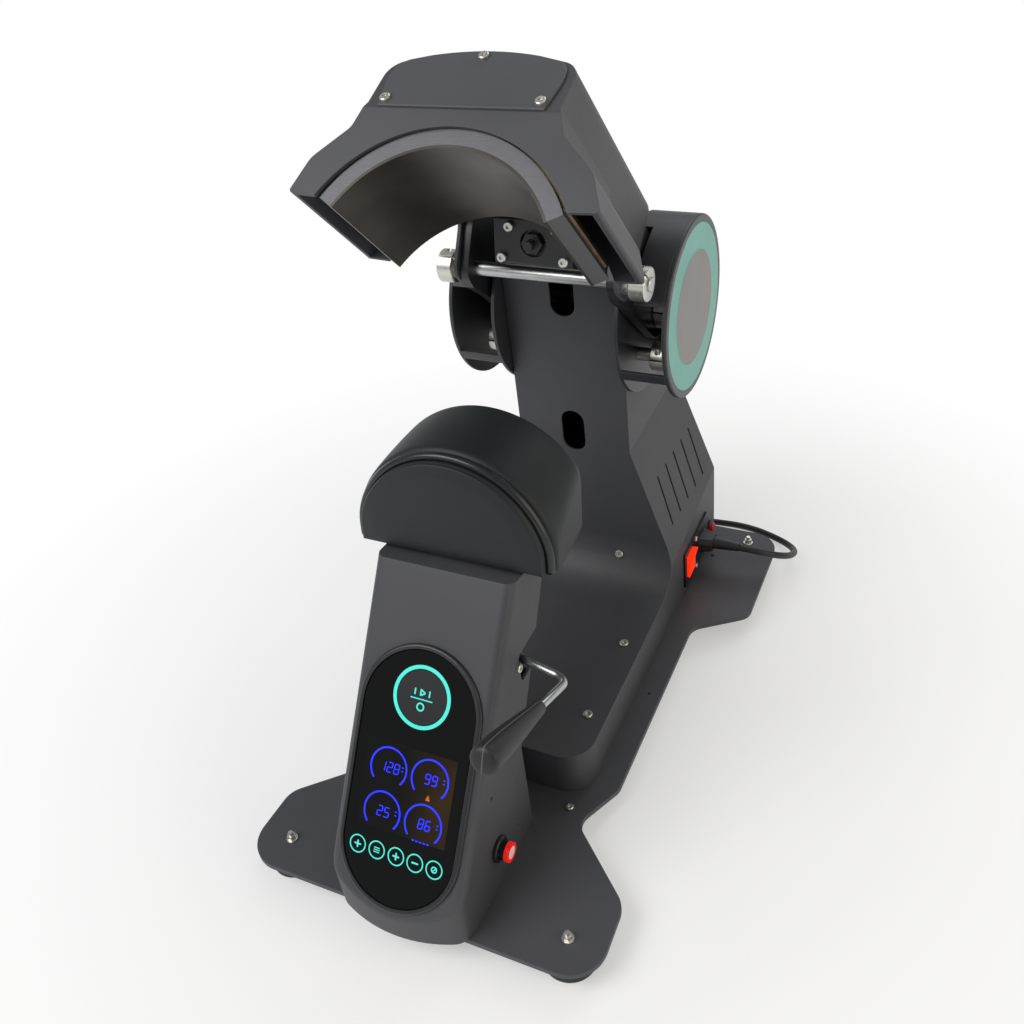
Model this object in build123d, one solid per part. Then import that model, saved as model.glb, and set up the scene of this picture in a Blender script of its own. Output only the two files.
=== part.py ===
from build123d import *
import math
import os

# Cap heat press: a curved heated platen on a hinged head closes over a padded saddle.
# Millimetres, +Z up; the operator stands at -Y. X = 0 is the plane of symmetry and the
# floor is Z = 0. Every function below makes one kind of sub-part and main() writes them.

# ---- base ----
FLOOR_TO_PLATE = 20.0          # height of the rubber feet
PLATE_T = 5.0
DECK_Z = FLOOR_TO_PLATE + PLATE_T
HALF_LENGTH = 281.0            # the base and the console are centred on Y = 0
FOOT_R = 19.0
FEET = [(128.0, -235.0), (136.0, 262.0)]
LOBE_OUTLINE = [               # right half of the plate: x, y and corner radius
    (160, -264, 30), (158, -194, 22), (96, -136, 16), (117, -92, 14),
    (117, 118, 18), (166, 152, 16), (166, HALF_LENGTH, 26),
]

# ---- slanted console ----
SHEET = 2.5
CONSOLE_HALF = 59.0
CONSOLE_LEAN = 36.0            # front and back lean from the vertical, degrees
LABEL_Y, LABEL_Z = -119.5, 272.5   # a point on the front face, near its top edge
CONSOLE_BOW = 15.0             # the foot of the console bulges forward by this much
CONSOLE_REAR = -146.0
CONSOLE_REAR_KNEE = 118.0
PANEL_HALF = 48.0              # obround touch panel
PANEL_TOP, PANEL_BOTTOM = 66.0, 266.0   # distances down the slope
BEZEL_LIP = 4.5
BEZEL_RISE = 3.0
BUTTON_Y, BUTTON_Z = -204.0, 63.0
BUTTON_BARREL = 8.8
BUTTON_CAP_R, BUTTON_STEM_R = 7.9, 5.0
BUTTON_TRAVEL = 3.0
RUN_GAP = 0.05                 # running clearance of what turns or slides

# ---- saddle (lower form) ----
SADDLE_Y, SADDLE_Z = -99.5, 266.0
SADDLE_TILT = 7.0              # the front end is the higher one
PAD_R, PAD_RISE = 85.0, 8.0    # arc radius, and height of its centre over the base line
PAD_T = 9.0
SADDLE_LEN = 68.0
SADDLE_REAR_LEAN = 0.17
END_R = 74.0

# ---- tension lever ----
LEVER_Y, LEVER_Z = -119.0, 194.0
LEVER_BEND = (90.0, -127.0, 187.0)
LEVER_TIP = (90.0, -249.0, 229.0)
LEVER_ROD_R = 4.0
LEVER_BEND_R = 12.0
GRIP_LEN = 92.0

# ---- rear housing ----
HOUSE_FRONT, HOUSE_REAR = 132.0, 272.0
HOUSE_HALF_TOP, HOUSE_HALF = 55.0, 95.0
DECK_TOP = 70.0
DECK_FRONT = -110.0
BEND_R = 42.0
FLARE_TOP_FRONT, FLARE_TOP_REAR = 214.0, 222.0
FLARE_LOW_FRONT, FLARE_LOW_REAR = 84.0, 112.0

# ---- hinge ----
PIVOT_Y, PIVOT_Z = 188.0, 342.0
DRUM_R = 80.0
FLANGE_X, HOOD_X, COVER_X = 55.5, 58.5, 101.0
HOOD_FROM, HOOD_TO = -60.0, 154.0       # angles about the pivot, from +Y towards +Z
SLOT_FROM = 101.0
STRIP_FROM, STRIP_TO = 201.0, 209.0
SLOT_X = 71.0
SHAFT_R = 10.0
CLOSING = 40.9                 # swing of the head from open to closed
STOP_Y, STOP_Z = 159.0, 306.5

# ---- head, in its own frame: x, y rearward, z up from the axis of the arch ----
HEAD_Y, HEAD_Z = -87.6, 493.2
HEAD_LEAN = 47.9
PLATEN_IN, PLATEN_OUT = 91.5, 103.0
LINER_T = 2.0
ARCH_R, ARCH_DROP = 108.0, 5.0
HEAD_DEPTH = 112.0
HEAD_SHEET = 3.0
WING_SOLE = 48.0
BEAM_HALF = 72.0
BEAM_REAR = 206.0
COVER_LOW = 115.0
COVER_TILT = 20.0
ROD_Y, ROD_Z, ROD_R = 190.7, 79.9, 6.0
ARM_IN, ARM_OUT = 61.0, 69.0
CARRIER_Z = 118.0
PLATEN_FROM = 28.0             # the arc runs between this angle and its mirror
PRESSURE_LEAN = 127.2

# ---- drive inside the column ----
CRANK_R = 45.0
STRUT_Y = 231.4                # the strut stands under the crank pin's mean place
STRUT_R, STRUT_ROD_R = 19.0, 8.0
STRUT_TOP = 286.0
STRUT_FOOT = 56.0

# ---- power inlet and mains cord ----
INLET_Y, INLET_Z = 201.0, 55.0
INLET_LONG, INLET_TALL = 78.0, 44.0
FLANGE_T = 2.2
ROCKER_Y, ROCKER_Z = 178.0, 57.0
ROCKER_TALL, ROCKER_WIDE = 26.0, 20.0
ROCKER_TILT = 7.0              # either side of flat
SOCKET_Y = 217.0
FUSE_Y, FUSE_Z = 251.0, 47.0
CORD_R = 3.5
CONNECTOR_END = 138.0
CORD_ROUTE = [
    (138, 217, 55), (156, 217.5, 54), (181, 228, 44), (199, 254, 27), (196, 288, 11),
    (168, 312, 3.5), (124, 319, 3.5), (78, 313, 3.5), (36, 307, 3.5), (-4, 306.5, 3.5),
]
COIL_AT = (-25, 352, 0)
COIL_R, COIL_WIDE, COIL_HIGH = 38.5, 21.0, 14.0
PLUG_AT = (-4, 397.5, 8.6)

SADDLE = Plane(
    origin=(0, SADDLE_Y, SADDLE_Z), x_dir=(1, 0, 0),
    z_dir=(0, math.sin(math.radians(SADDLE_TILT)), math.cos(math.radians(SADDLE_TILT))),
)
HEAD = Plane(
    origin=(0, HEAD_Y, HEAD_Z), x_dir=(1, 0, 0),
    z_dir=(0, math.sin(math.radians(HEAD_LEAN)), math.cos(math.radians(HEAD_LEAN))),
)
# the console's front face: x across, y down the slope, z inward
SLOPE = math.radians(CONSOLE_LEAN)
FACE = Plane(
    origin=(0, LABEL_Y, LABEL_Z), x_dir=(1, 0, 0),
    z_dir=(0, math.cos(SLOPE), -math.sin(SLOPE)),
)
DRAWN = []


def save(name, *solids):
    """Write one node; several solids become a group in one file."""
    flat = [s for shape in solids for s in shape.solids()]
    export_step(flat[0] if len(flat) == 1 else Compound(children=flat), f"parts/{name}.step")
    DRAWN.append(name)


def along_x(sketch, x0, x1):
    """Extrude a (y, z) sketch from x0 to x1."""
    return extrude(Plane.YZ.offset(x0) * sketch, amount=x1 - x0)


def along_y(sketch, y0, y1):
    """Extrude an (x, z) sketch from y0 back to y1."""
    return extrude(Plane.XZ.offset(-y0) * sketch, amount=-(y1 - y0))


def along_z(sketch, z0, z1):
    """Extrude an (x, y) sketch from z0 up to z1."""
    return extrude(Plane.XY.offset(z0) * sketch, amount=z1 - z0)


def both_sides(shape):
    """A shape and its mirror image across X = 0."""
    return [shape, mirror(shape, Plane.YZ)]


def pin_x(radius, x0, x1, y, z):
    return along_x(Pos(y, z) * Circle(radius), x0, x1)


def polygon(points, radii=0.0):
    """A closed outline with rounded corners."""
    radii = radii if isinstance(radii, (list, tuple)) else [radii] * len(points)
    return make_face(FilletPolyline(*points, radius=radii, close=True))


def sector(radius, start, stop):
    """A pie slice of a circle, angles in degrees from the local x axis."""
    steps = max(2, math.ceil((stop - start) / 40) + 1)
    reach = radius * 1.6
    angles = [math.radians(start + (stop - start) * i / (steps - 1)) for i in range(steps)]
    rim = [(reach * math.cos(a), reach * math.sin(a)) for a in angles]
    return make_face(Polyline((0, 0), *rim, close=True)) & Circle(radius)


def ring_sector(outer, inner, start, stop):
    return sector(outer, start, stop) - Circle(inner)


def screw(head_r=4.0, head_h=3.2, shank_r=2.0, shank=8.0, socket=True):
    """A socket-head screw standing on z = 0, shank downward."""
    body = extrude(Circle(head_r), head_h)
    body = chamfer(body.edges().group_by(Axis.Z)[-1], 0.6)
    if socket:
        body -= Pos(0, 0, head_h - 1.6) * extrude(RegularPolygon(head_r * 0.5, 6), 2)
    return body + Pos(0, 0, -shank) * extrude(Circle(shank_r), shank)


# ---------------------------------------------------------------- base

def plate_outline():
    right = [(x, y) for x, y, _ in LOBE_OUTLINE]
    radii = [r for _, _, r in LOBE_OUTLINE]
    left = [(-x, y) for x, y in reversed(right)]
    return polygon(right + left, radii + radii[::-1])


def foot_places():
    return [(sx * x, y) for x, y in FEET for sx in (-1, 1)]


def base_plate():
    plate = along_z(plate_outline(), FLOOR_TO_PLATE, DECK_Z)
    for x, y in foot_places():
        plate -= Pos(x, y, FLOOR_TO_PLATE) * Cylinder(3.1, 2 * PLATE_T)
    return plate


def rubber_foot():
    profile = Polyline((0, 0), (16.5, 0), (18, 1.5), (FOOT_R, 14), (FOOT_R, 18),
                       (17, FLOOR_TO_PLATE), (0, FLOOR_TO_PLATE), close=True)
    foot = revolve(Plane.XZ * make_face(profile), Axis.Z)
    return foot - Pos(0, 0, FLOOR_TO_PLATE) * Cylinder(3.1, 2 * 14)


def foot_bolt():
    """Hexagon nut and rounded stud end over the plate, stud down into the foot."""
    nut = extrude(RegularPolygon(5.4, 6), 4.2)
    stud = Pos(0, 0, -17) * extrude(Circle(3), 17 + 8.5)
    washer = extrude(Circle(7), 1.0)
    return Pos(0, 0, DECK_Z) * (washer + Pos(0, 0, 1) * nut + stud)


# ---------------------------------------------------------------- console

def console_outline(inset):
    """Plan of the console's foot, bowed forward, with rounded front corners."""
    half = CONSOLE_HALF - inset
    front = -HALF_LENGTH + inset
    corner = front + CONSOLE_BOW
    bow = ThreePointArc((-half, corner), (0, front), (half, corner))
    sides = Polyline((half, corner), (half, CONSOLE_REAR + 90 - inset),
                     (-half, CONSOLE_REAR + 90 - inset), (-half, corner))
    face = make_face(Wire([bow.edge(), *sides.edges()]))
    return fillet(face.vertices().sort_by(Axis.Y)[:2], 18 - inset)


def console_body(inset):
    """Slanted tower: plan outline cut by the leaning front, back and top planes."""
    body = along_z(console_outline(inset), DECK_Z - 5, SADDLE_Z + 20)
    cut = 400
    front = FACE.offset(inset)
    body -= front.location * Pos(0, 0, -cut / 2) * Box(cut, 3 * cut, cut)
    back = polygon([(CONSOLE_REAR - inset, 0), (CONSOLE_REAR - inset, CONSOLE_REAR_KNEE),
                    (CONSOLE_REAR - inset + 86, 268), (CONSOLE_REAR + 200, 268),
                    (CONSOLE_REAR + 200, 0)])
    body -= along_x(back, -cut / 2, cut / 2)
    body -= SADDLE.location * Pos(0, 0, cut / 2 - inset) * Box(cut, 2 * cut, cut)
    return body


def console_shell():
    outer = console_body(0)
    edges = [e for e in outer.edges()
             if all(abs(FACE.to_local_coords(v.center()).Z) < 0.05 for v in e.vertices())
             and e.center().Z < SADDLE_Z - 8]
    outer = fillet(edges, 8.0)
    shell = outer - console_body(SHEET)
    shell -= along_z(Rectangle(400, 800), 0, DECK_Z)
    window = obround(PANEL_HALF - 2, PANEL_TOP + 2, PANEL_BOTTOM - 2)
    shell -= FACE.location * extrude(window, 20, both=True)
    shell -= pin_x(BUTTON_BARREL, 40, 80, BUTTON_Y, BUTTON_Z)
    notch = polygon([(-130, 176), (-130, 204), (-80, 204), (-92, 176)], [5, 5, 0, 0])
    return shell - along_x(notch, 50, 70)


def obround(half, top, bottom):
    """Upright slot with round ends, measured down the console's slope."""
    width = 2 * half
    return Pos(0, (top + bottom) / 2) * Rot(0, 0, 90) * SlotOverall(bottom - top, width)


def panel_bezel():
    lip = obround(PANEL_HALF + BEZEL_LIP, PANEL_TOP - BEZEL_LIP, PANEL_BOTTOM + BEZEL_LIP)
    hole = obround(PANEL_HALF + 0.4, PANEL_TOP - 0.4, PANEL_BOTTOM + 0.4)
    ledge = obround(PANEL_HALF - 2.1, PANEL_TOP + 2.1, PANEL_BOTTOM - 2.1)
    ring = Pos(0, 0, -BEZEL_RISE) * extrude(lip, BEZEL_RISE)
    ring = fillet(ring.edges().group_by(Axis.Z)[0], 2.2)
    ring -= Pos(0, 0, -BEZEL_RISE) * extrude(hole, BEZEL_RISE)
    back = extrude(ledge, SHEET + 2) - extrude(offset(ledge, -3), SHEET + 2)
    return FACE.location * (ring + back)


def touch_panel():
    glass = extrude(obround(PANEL_HALF, PANEL_TOP, PANEL_BOTTOM), 2.0)
    glass = chamfer(glass.edges().group_by(Axis.Z)[0], 0.5)
    return FACE.location * Pos(0, 0, -2.0) * glass


def control_board():
    """Circuit board on four posts behind the panel."""
    board = Pos(0, 166, 8) * Box(74, 150, 1.6)
    posts = [Pos(sx * 32, 166 + sy * 66, 4) * Cylinder(3, 6.4) for sx in (-1, 1) for sy in (-1, 1)]
    relay = [Pos(sx * 18, 190, 14.8) * Box(20, 16, 12) for sx in (-1, 1)]
    return FACE.location * (board + posts + relay)


def on_console_side(shape):
    """Stand a part, made along +Z, on the console's right side wall."""
    return Location((CONSOLE_HALF, BUTTON_Y, BUTTON_Z), (0, 90, 0)) * shape


def button_body():
    """Bezel and barrel of the push button, blind at the back."""
    bezel = chamfer(extrude(Circle(11), 3.4).edges().group_by(Axis.Z)[-1], 1.0)
    body = bezel + Pos(0, 0, -24) * extrude(Circle(BUTTON_BARREL), 24)
    body -= Pos(0, 0, -20) * extrude(Circle(BUTTON_STEM_R + RUN_GAP), 30)
    return on_console_side(body - extrude(Circle(BUTTON_CAP_R + RUN_GAP), 10))


def button_cap():
    cap = Pos(0, 0, 0.2 + BUTTON_TRAVEL) * extrude(Circle(BUTTON_CAP_R), 8.2)
    cap = fillet(cap.edges().group_by(Axis.Z)[-1], 1.6)
    return on_console_side(cap + Pos(0, 0, -12) * extrude(Circle(BUTTON_STEM_R), 16))


def side_screws():
    """Socket screws that hold the console shell to its inner frame."""
    places = [(-132.4, 194.1), (-200.0, 120.0), (-170.0, 48.0)]
    right = [Location((CONSOLE_HALF, y, z), (0, 90, 0)) * screw(3.6, 2.4, 1.8, 6) for y, z in places]
    return right + [mirror(s, Plane.YZ) for s in right]


# ---------------------------------------------------------------- tension lever

def lever_rod():
    """Bent steel rod, pinned into the end of the tension shaft."""
    start = Vector(44, LEVER_Y, LEVER_Z)
    leave = Vector(56, LEVER_Y, LEVER_Z)
    bend, tip = Vector(*LEVER_BEND), Vector(*LEVER_TIP)
    end = tip - (tip - bend).normalized() * 12
    path = FilletPolyline(start, leave, bend, end, radius=LEVER_BEND_R)
    return sweep(Plane(origin=start, z_dir=(1, 0, 0)) * Circle(LEVER_ROD_R), path)


def lever_grip():
    bend, tip = Vector(*LEVER_BEND), Vector(*LEVER_TIP)
    axis = (tip - bend).normalized()
    neck, full, nose = 5.2, 10.6, 4.0
    profile = Polyline((0, 0), (neck, 0), (neck + 0.8, 3), (full, GRIP_LEN - 12))
    cap = ThreePointArc((full, GRIP_LEN - 12), (full - 1.6, GRIP_LEN - 3), (nose, GRIP_LEN))
    close = Line((nose, GRIP_LEN), (0, GRIP_LEN))
    axis_line = Line((0, GRIP_LEN), (0, 0))
    face = make_face(Wire([*profile.edges(), cap.edge(), close.edge(), axis_line.edge()]))
    grip = revolve(Plane.XZ * face, Axis.Z)
    grip -= extrude(Circle(LEVER_ROD_R), GRIP_LEN - 12)
    return Plane(origin=tip - axis * GRIP_LEN, z_dir=axis).location * grip


def tension_shaft():
    """Cross shaft in the console, bored at one end for the lever rod."""
    shaft = pin_x(7, -50, 48, LEVER_Y, LEVER_Z) - pin_x(LEVER_ROD_R, 44, 50, LEVER_Y, LEVER_Z)
    return chamfer(shaft.edges().group_by(Axis.X)[0], 0.8)


def tension_cam():
    """Eccentric on the shaft that draws the saddle's clamp bar down."""
    lobe = Pos(LEVER_Y - 5, LEVER_Z + 3) * Circle(15)
    return along_x(lobe - Pos(LEVER_Y, LEVER_Z) * Circle(7), -14, 14)


def tension_bearings():
    """Two blocks that hang the shaft from the underside of the console's top."""
    low, high = LEVER_Z - 12, 263.0
    block = polygon([(LEVER_Y - 11, low), (LEVER_Y + 6, low), (LEVER_Y + 10, LEVER_Z + 6),
                     (LEVER_Y + 10, high), (LEVER_Y - 1, high), (LEVER_Y - 11, high - 18)],
                    [6, 2, 4, 0, 0, 0])
    bore = pin_x(7.04, -60, 60, LEVER_Y, LEVER_Z)
    return [along_x(block, x - 5, x + 5) - bore for x in (-38, 32)]


# ---------------------------------------------------------------- saddle

def d_section(radius, centre, floor=0.0):
    """Arch of a full half circle standing on short straight sides."""
    disc = Pos(0, centre) * Circle(radius)
    legs = Pos(0, centre / 2) * Rectangle(2 * radius, centre)
    return (disc + legs) & (Pos(0, floor + 200) * Rectangle(400, 400))


def saddle_solid(radius, floor, front, rear_shift=0.0):
    body = along_y(d_section(radius, PAD_RISE, floor), front, 140)
    lean = polygon([(SADDLE_LEN + rear_shift, 0), (200, 0), (200, 120),
                    (SADDLE_LEN + rear_shift + SADDLE_REAR_LEAN * 120, 120)])
    lean = Pos(0, -10) * lean + lean
    return body - along_x(lean, -120, 120)


def saddle_form():
    """Cast aluminium form under the pad, hollow below."""
    outer = saddle_solid(PAD_R - PAD_T, 0, 0, -3)
    hollow = along_y(d_section(PAD_R - PAD_T - 8, PAD_RISE, 8), 12, 56)
    return SADDLE.location * (outer - hollow)


def saddle_pad():
    outer = saddle_solid(PAD_R, 0, 0)
    inner = along_y(d_section(PAD_R - PAD_T, PAD_RISE), 0, 140)
    return SADDLE.location * (outer - inner)


def saddle_end():
    """Front end panel, standing proud of the pad inside a raised rim."""
    plate = along_y(d_section(END_R, PAD_RISE), -11, 0)
    front = plate.edges().group_by(Axis.Y)[0].filter_by(lambda e: e.center().Z > 1)
    return SADDLE.location * fillet(front, 3.0)


def saddle_rim():
    """Rolled rim between the pad and the end panel."""
    band = d_section(PAD_R - 0.5, PAD_RISE) - d_section(END_R + 0.2, PAD_RISE)
    rim = along_y(band, -6, -0.2)
    front = rim.edges().group_by(Axis.Y)[0].filter_by(GeomType.CIRCLE)
    return SADDLE.location * fillet(front, 2.2)


def saddle_bolts():
    places = [(sx * 30, 30 + sy * 18) for sx in (-1, 1) for sy in (-1, 1)]
    bolt = Rot(180, 0, 0) * screw(5, 4, 2.5, 10)
    return [SADDLE.location * Pos(x, y, -4) * bolt for x, y in places]


# ---------------------------------------------------------------- rear housing

def side_profile(inset):
    """Side view: deck, bend into the upright front, round top about the hinge."""
    top = DRUM_R - 2.0 - inset
    front, rear, deck = HOUSE_FRONT + inset, HOUSE_REAR - inset, DECK_TOP - inset
    rise = math.sqrt(top ** 2 - (PIVOT_Y - front) ** 2)
    bend = BEND_R + inset
    mid = math.sqrt(0.5) * bend
    deck_line = Line((DECK_FRONT + inset, deck), (front - bend, deck))
    curve = ThreePointArc((front - bend, deck), (front - bend + mid, deck + bend - mid),
                          (front, deck + bend))
    upright = Line((front, deck + bend), (front, PIVOT_Z + rise))
    crown = ThreePointArc((front, PIVOT_Z + rise), (PIVOT_Y, PIVOT_Z + top),
                          (PIVOT_Y + top, PIVOT_Z))
    back = Polyline((PIVOT_Y + top, PIVOT_Z), (rear, FLARE_TOP_REAR), (rear, DECK_Z),
                    (DECK_FRONT + inset, DECK_Z), (DECK_FRONT + inset, deck))
    edges = [deck_line.edge(), curve.edge(), upright.edge(), crown.edge(), *back.edges()]
    return make_face(Wire(edges))


def cross_section(flare_top, flare_low, inset, y):
    """Half-widths of the housing at one station along Y."""
    top, wide, up = HOUSE_HALF_TOP - inset, HOUSE_HALF - inset, 460
    pts = [(wide, 0), (wide, flare_low), (top, flare_top), (top, up)]
    pts += [(-x, z) for x, z in reversed(pts)]
    return Plane.XZ.offset(-y) * make_face(Polyline(*pts, close=True))


def flared_column(inset):
    """Width envelope of the column: narrow at the hinge, wide at the floor."""
    front = cross_section(FLARE_TOP_FRONT, FLARE_LOW_FRONT, inset, HOUSE_FRONT - BEND_R - 5)
    rear = cross_section(FLARE_TOP_REAR, FLARE_LOW_REAR, inset, HOUSE_REAR + 5)
    return loft([front, rear], ruled=True)


def deck_block(inset):
    """Low front part of the housing with its rounded corners."""
    half = HOUSE_HALF - inset
    length = HOUSE_REAR - DECK_FRONT
    plan = Pos(0, DECK_FRONT + inset + length / 2) * Rectangle(2 * half, length)
    plan = fillet(plan.vertices().sort_by(Axis.Y)[:2], 26 - inset)
    return along_z(plan, 0, DECK_TOP + 20)


def housing_solid(inset):
    profile = along_x(side_profile(inset), -120, 120)
    low = profile & deck_block(inset)
    return low + (profile & flared_column(inset))


def slot_cutter(y, z):
    """Obround hole through the front of the column."""
    hole = Rot(0, 0, 90) * SlotOverall(44, 23)
    return along_y(Pos(0, z) * hole, y - 15, y + 15)


def vent_slots():
    """Five slanted vents in echelon, cut through both flared sides."""
    vents = []
    for i in range(5):
        base = 163.5 + 22.2 * i
        bar = Pos(base - 3.5, 145) * Rot(0, 0, 83) * SlotOverall(52, 3.2)
        vents.append(along_x(bar, -120, 120))
    return vents


def housing_pieces():
    """Split the folded shell into the sheets it is made from."""
    outer, inner = housing_solid(0), housing_solid(SHEET)
    shell = outer - inner
    shell -= along_z(Rectangle(600, 1200), 0, DECK_Z)
    skin_band = along_x(side_profile(0) - side_profile(SHEET), -120, 120)
    rear_box = Pos(0, HOUSE_REAR, 220) * Box(300, 2 * SHEET + 14, 500)
    front_skin = (shell & skin_band) - rear_box
    front_wall = Pos(0, DECK_FRONT + 14, (DECK_Z + DECK_TOP - SHEET) / 2) * Box(
        2 * HOUSE_HALF + 2, 28, DECK_TOP - SHEET - DECK_Z)
    front_skin += shell & front_wall
    sides = shell - front_skin - rear_box
    rear = (shell & rear_box)
    for vent in vent_slots():
        sides -= vent
    right = sides & (Pos(100, 0, 250) * Box(200, 900, 600))
    left = sides & (Pos(-100, 0, 250) * Box(200, 900, 600))
    right -= inlet_window()
    for z in (372, 231):
        front_skin -= slot_cutter(HOUSE_FRONT, z)
    bore = pin_x(SHAFT_R + 4, -70, 70, PIVOT_Y, PIVOT_Z)
    return front_skin, left - bore, right - bore, rear


def deck_screws():
    flat = [(sx * 78, y, DECK_TOP) for sx in (-1, 1) for y in (33.0, -59.0)]
    screws = [Pos(*p) * screw(4.4, 2.2, 2.2, 8) for p in flat]
    bend = BEND_R * (1 - math.cos(math.radians(64)))
    drop = BEND_R * (1 - math.sin(math.radians(64)))
    tilt = Location((40, HOUSE_FRONT - drop, DECK_TOP + bend), (64, 0, 0))
    curved = tilt * screw(4.0, 2.2, 2.0, 8)
    return screws + both_sides(curved)


def plate_bolts():
    """Small screws that hold the housing skirt down to the plate."""
    places = [(84, -124), (105, 20), (105, 230)]
    bolts = [Pos(x, y, DECK_Z) * screw(3.4, 2.2, 1.8, 4.6) for x, y in places]
    return [s for b in bolts for s in both_sides(b)]


def column_frame():
    """Two welded cheeks with ties: they carry the hinge bearings."""
    cheek = polygon([(156, DECK_Z), (262, DECK_Z), (250, 150), (226, PIVOT_Z + 8),
                     (214, 378), (162, 378), (150, PIVOT_Z + 8), (156, 150)],
                    [0, 0, 20, 14, 18, 18, 14, 20])
    cheek -= Pos(206, 110) * Rot(0, 0, 90) * SlotOverall(90, 44)
    cheek -= Pos(PIVOT_Y, PIVOT_Z) * Circle(19.0)
    right = along_x(cheek, 44, 50)
    ties = [pin_x(6, -44, 44, y, z) for y, z in ((168, 190), (178, 262), (178, 60))]
    return [right + mirror(right, Plane.YZ) + ties]


def hinge_bearings():
    """Flanged bearings in the cheeks."""
    ring = Pos(PIVOT_Y, PIVOT_Z) * (Circle(19.0) - Circle(SHAFT_R + 0.04))
    flange = Pos(PIVOT_Y, PIVOT_Z) * (Circle(27) - Circle(SHAFT_R + 0.04))
    bearing = along_x(ring, 44, 52.4) + along_x(flange, 40, 44)
    return both_sides(bearing)


# ---------------------------------------------------------------- hinge drums

def drum_shell():
    """Inner flange with the hood round it; the front is cut away for the arm."""
    centre = Pos(PIVOT_Y, PIVOT_Z)
    flange = along_x(centre * (Circle(DRUM_R) - Circle(SHAFT_R + 4)), FLANGE_X, HOOD_X)
    hood = along_x(centre * ring_sector(DRUM_R, DRUM_R - SHEET, HOOD_FROM, HOOD_TO), HOOD_X, COVER_X - 4)
    slot = along_x(centre * ring_sector(DRUM_R + 1, DRUM_R - 4, SLOT_FROM, HOOD_TO + 1), HOOD_X, SLOT_X)
    strip = along_x(centre * ring_sector(DRUM_R, DRUM_R - SHEET, STRIP_FROM, STRIP_TO), HOOD_X, COVER_X - 4)
    return flange + (hood - slot) + strip


def drum_cover():
    cover = pin_x(DRUM_R, COVER_X - 4, COVER_X, PIVOT_Y, PIVOT_Z)
    outer_edge = cover.edges().group_by(Axis.X)[-1]
    cover = fillet(outer_edge, 2.0)
    return cover - pin_x(73.2, COVER_X - 0.8, COVER_X, PIVOT_Y, PIVOT_Z)


def drum_band():
    band = Pos(PIVOT_Y, PIVOT_Z) * (Circle(73.0) - Circle(50.6))
    return along_x(band, COVER_X - 0.8, COVER_X)


def drum_centre():
    return pin_x(50.4, COVER_X - 0.8, COVER_X + 0.2, PIVOT_Y, PIVOT_Z)


def stop_pin():
    return pin_x(6, HOOD_X, 87, STOP_Y, STOP_Z)


def clamp_collar(x0, x1, y, z, bore, outer):
    """Split clamp collar with its cross screw."""
    body = pin_x(outer, x0, x1, y, z) - pin_x(bore, x0, x1, y, z)
    body -= Pos((x0 + x1) / 2, y - outer, z + 2) * Box(x1 - x0 + 2, 2 * (outer - bore), 1.6)
    edges = body.edges().filter_by(GeomType.CIRCLE).filter_by(lambda e: e.radius > outer - 0.1)
    body = chamfer(edges, 0.8)
    pocket = Pos((x0 + x1) / 2, y - bore - 4, z + outer) * Cylinder(2.6, 12)
    return body - pocket


def stop_collar():
    return clamp_collar(72, 86, STOP_Y, STOP_Z, 6, 13)


# ---------------------------------------------------------------- head

def wing_outline(inset):
    """Front view of the arched wings below the beam."""
    tip, neck = 116 - inset, BEAM_HALF - inset
    sole = WING_SOLE - 10 if inset else WING_SOLE
    pts = [(80, sole), (tip, sole + 1.5), (tip - 11, 76), (79 - inset, 100), (neck, 120)]
    radii = [0, 2.5, 20, 12, 0]
    pts += [(-x, z) for x, z in reversed(pts)]
    return polygon(pts, radii + radii[::-1])


def beam_outline(inset):
    half = BEAM_HALF - inset
    low, top = 100 + inset, 163 - inset
    crown = ThreePointArc((-half + 22, top), (0, top + 6), (half - 22, top))
    right = FilletPolyline((half - 22, top), (half, top - 6), (half, low), radius=16)
    foot = Line((half, low), (-half, low))
    left = FilletPolyline((-half, low), (-half, top - 6), (-half + 22, top), radius=16)
    return make_face(Wire([crown.edge(), *right.edges(), foot.edge(), *left.edges()]))


def front_cut(inset):
    """Wedge in front of the tilted cover."""
    tilt = math.radians(COVER_TILT)
    reach = 90
    wedge = Polyline((-40, COVER_LOW), (inset, COVER_LOW),
                     (inset + reach * math.sin(tilt), COVER_LOW + reach * math.cos(tilt)),
                     (-40, COVER_LOW + reach), close=True)
    return along_x(make_face(wedge), -130, 130)


def beam_side(inset):
    """Side view of the beam: it steps down at the rear to the cross rod."""
    i = inset
    pts = [(-1 + i, 90), (HEAD_DEPTH - i, 90), (HEAD_DEPTH - i + 2, 106 + i), (160, 112 + i),
           (174, 66 + i), (206, 66 + i), (BEAM_REAR + 2, 100), (BEAM_REAR + 2, 180), (-1 + i, 180)]
    radii = [0, 0, 0, 14, 12, 12, 0, 0, 0]
    return along_x(polygon(pts, radii), -130, 130)


def head_solid(inset):
    wings = along_y(wing_outline(inset), inset, HEAD_DEPTH - inset)
    beam = along_y(beam_outline(inset), inset, BEAM_REAR + (1 if inset else 0))
    lower = along_y(Pos(0, 90) * Rectangle(2 * (BEAM_HALF - inset), 60), HEAD_DEPTH + 20,
                    BEAM_REAR + (1 if inset else 0))
    return wings + ((beam + lower) & beam_side(inset)) - front_cut(inset)


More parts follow.
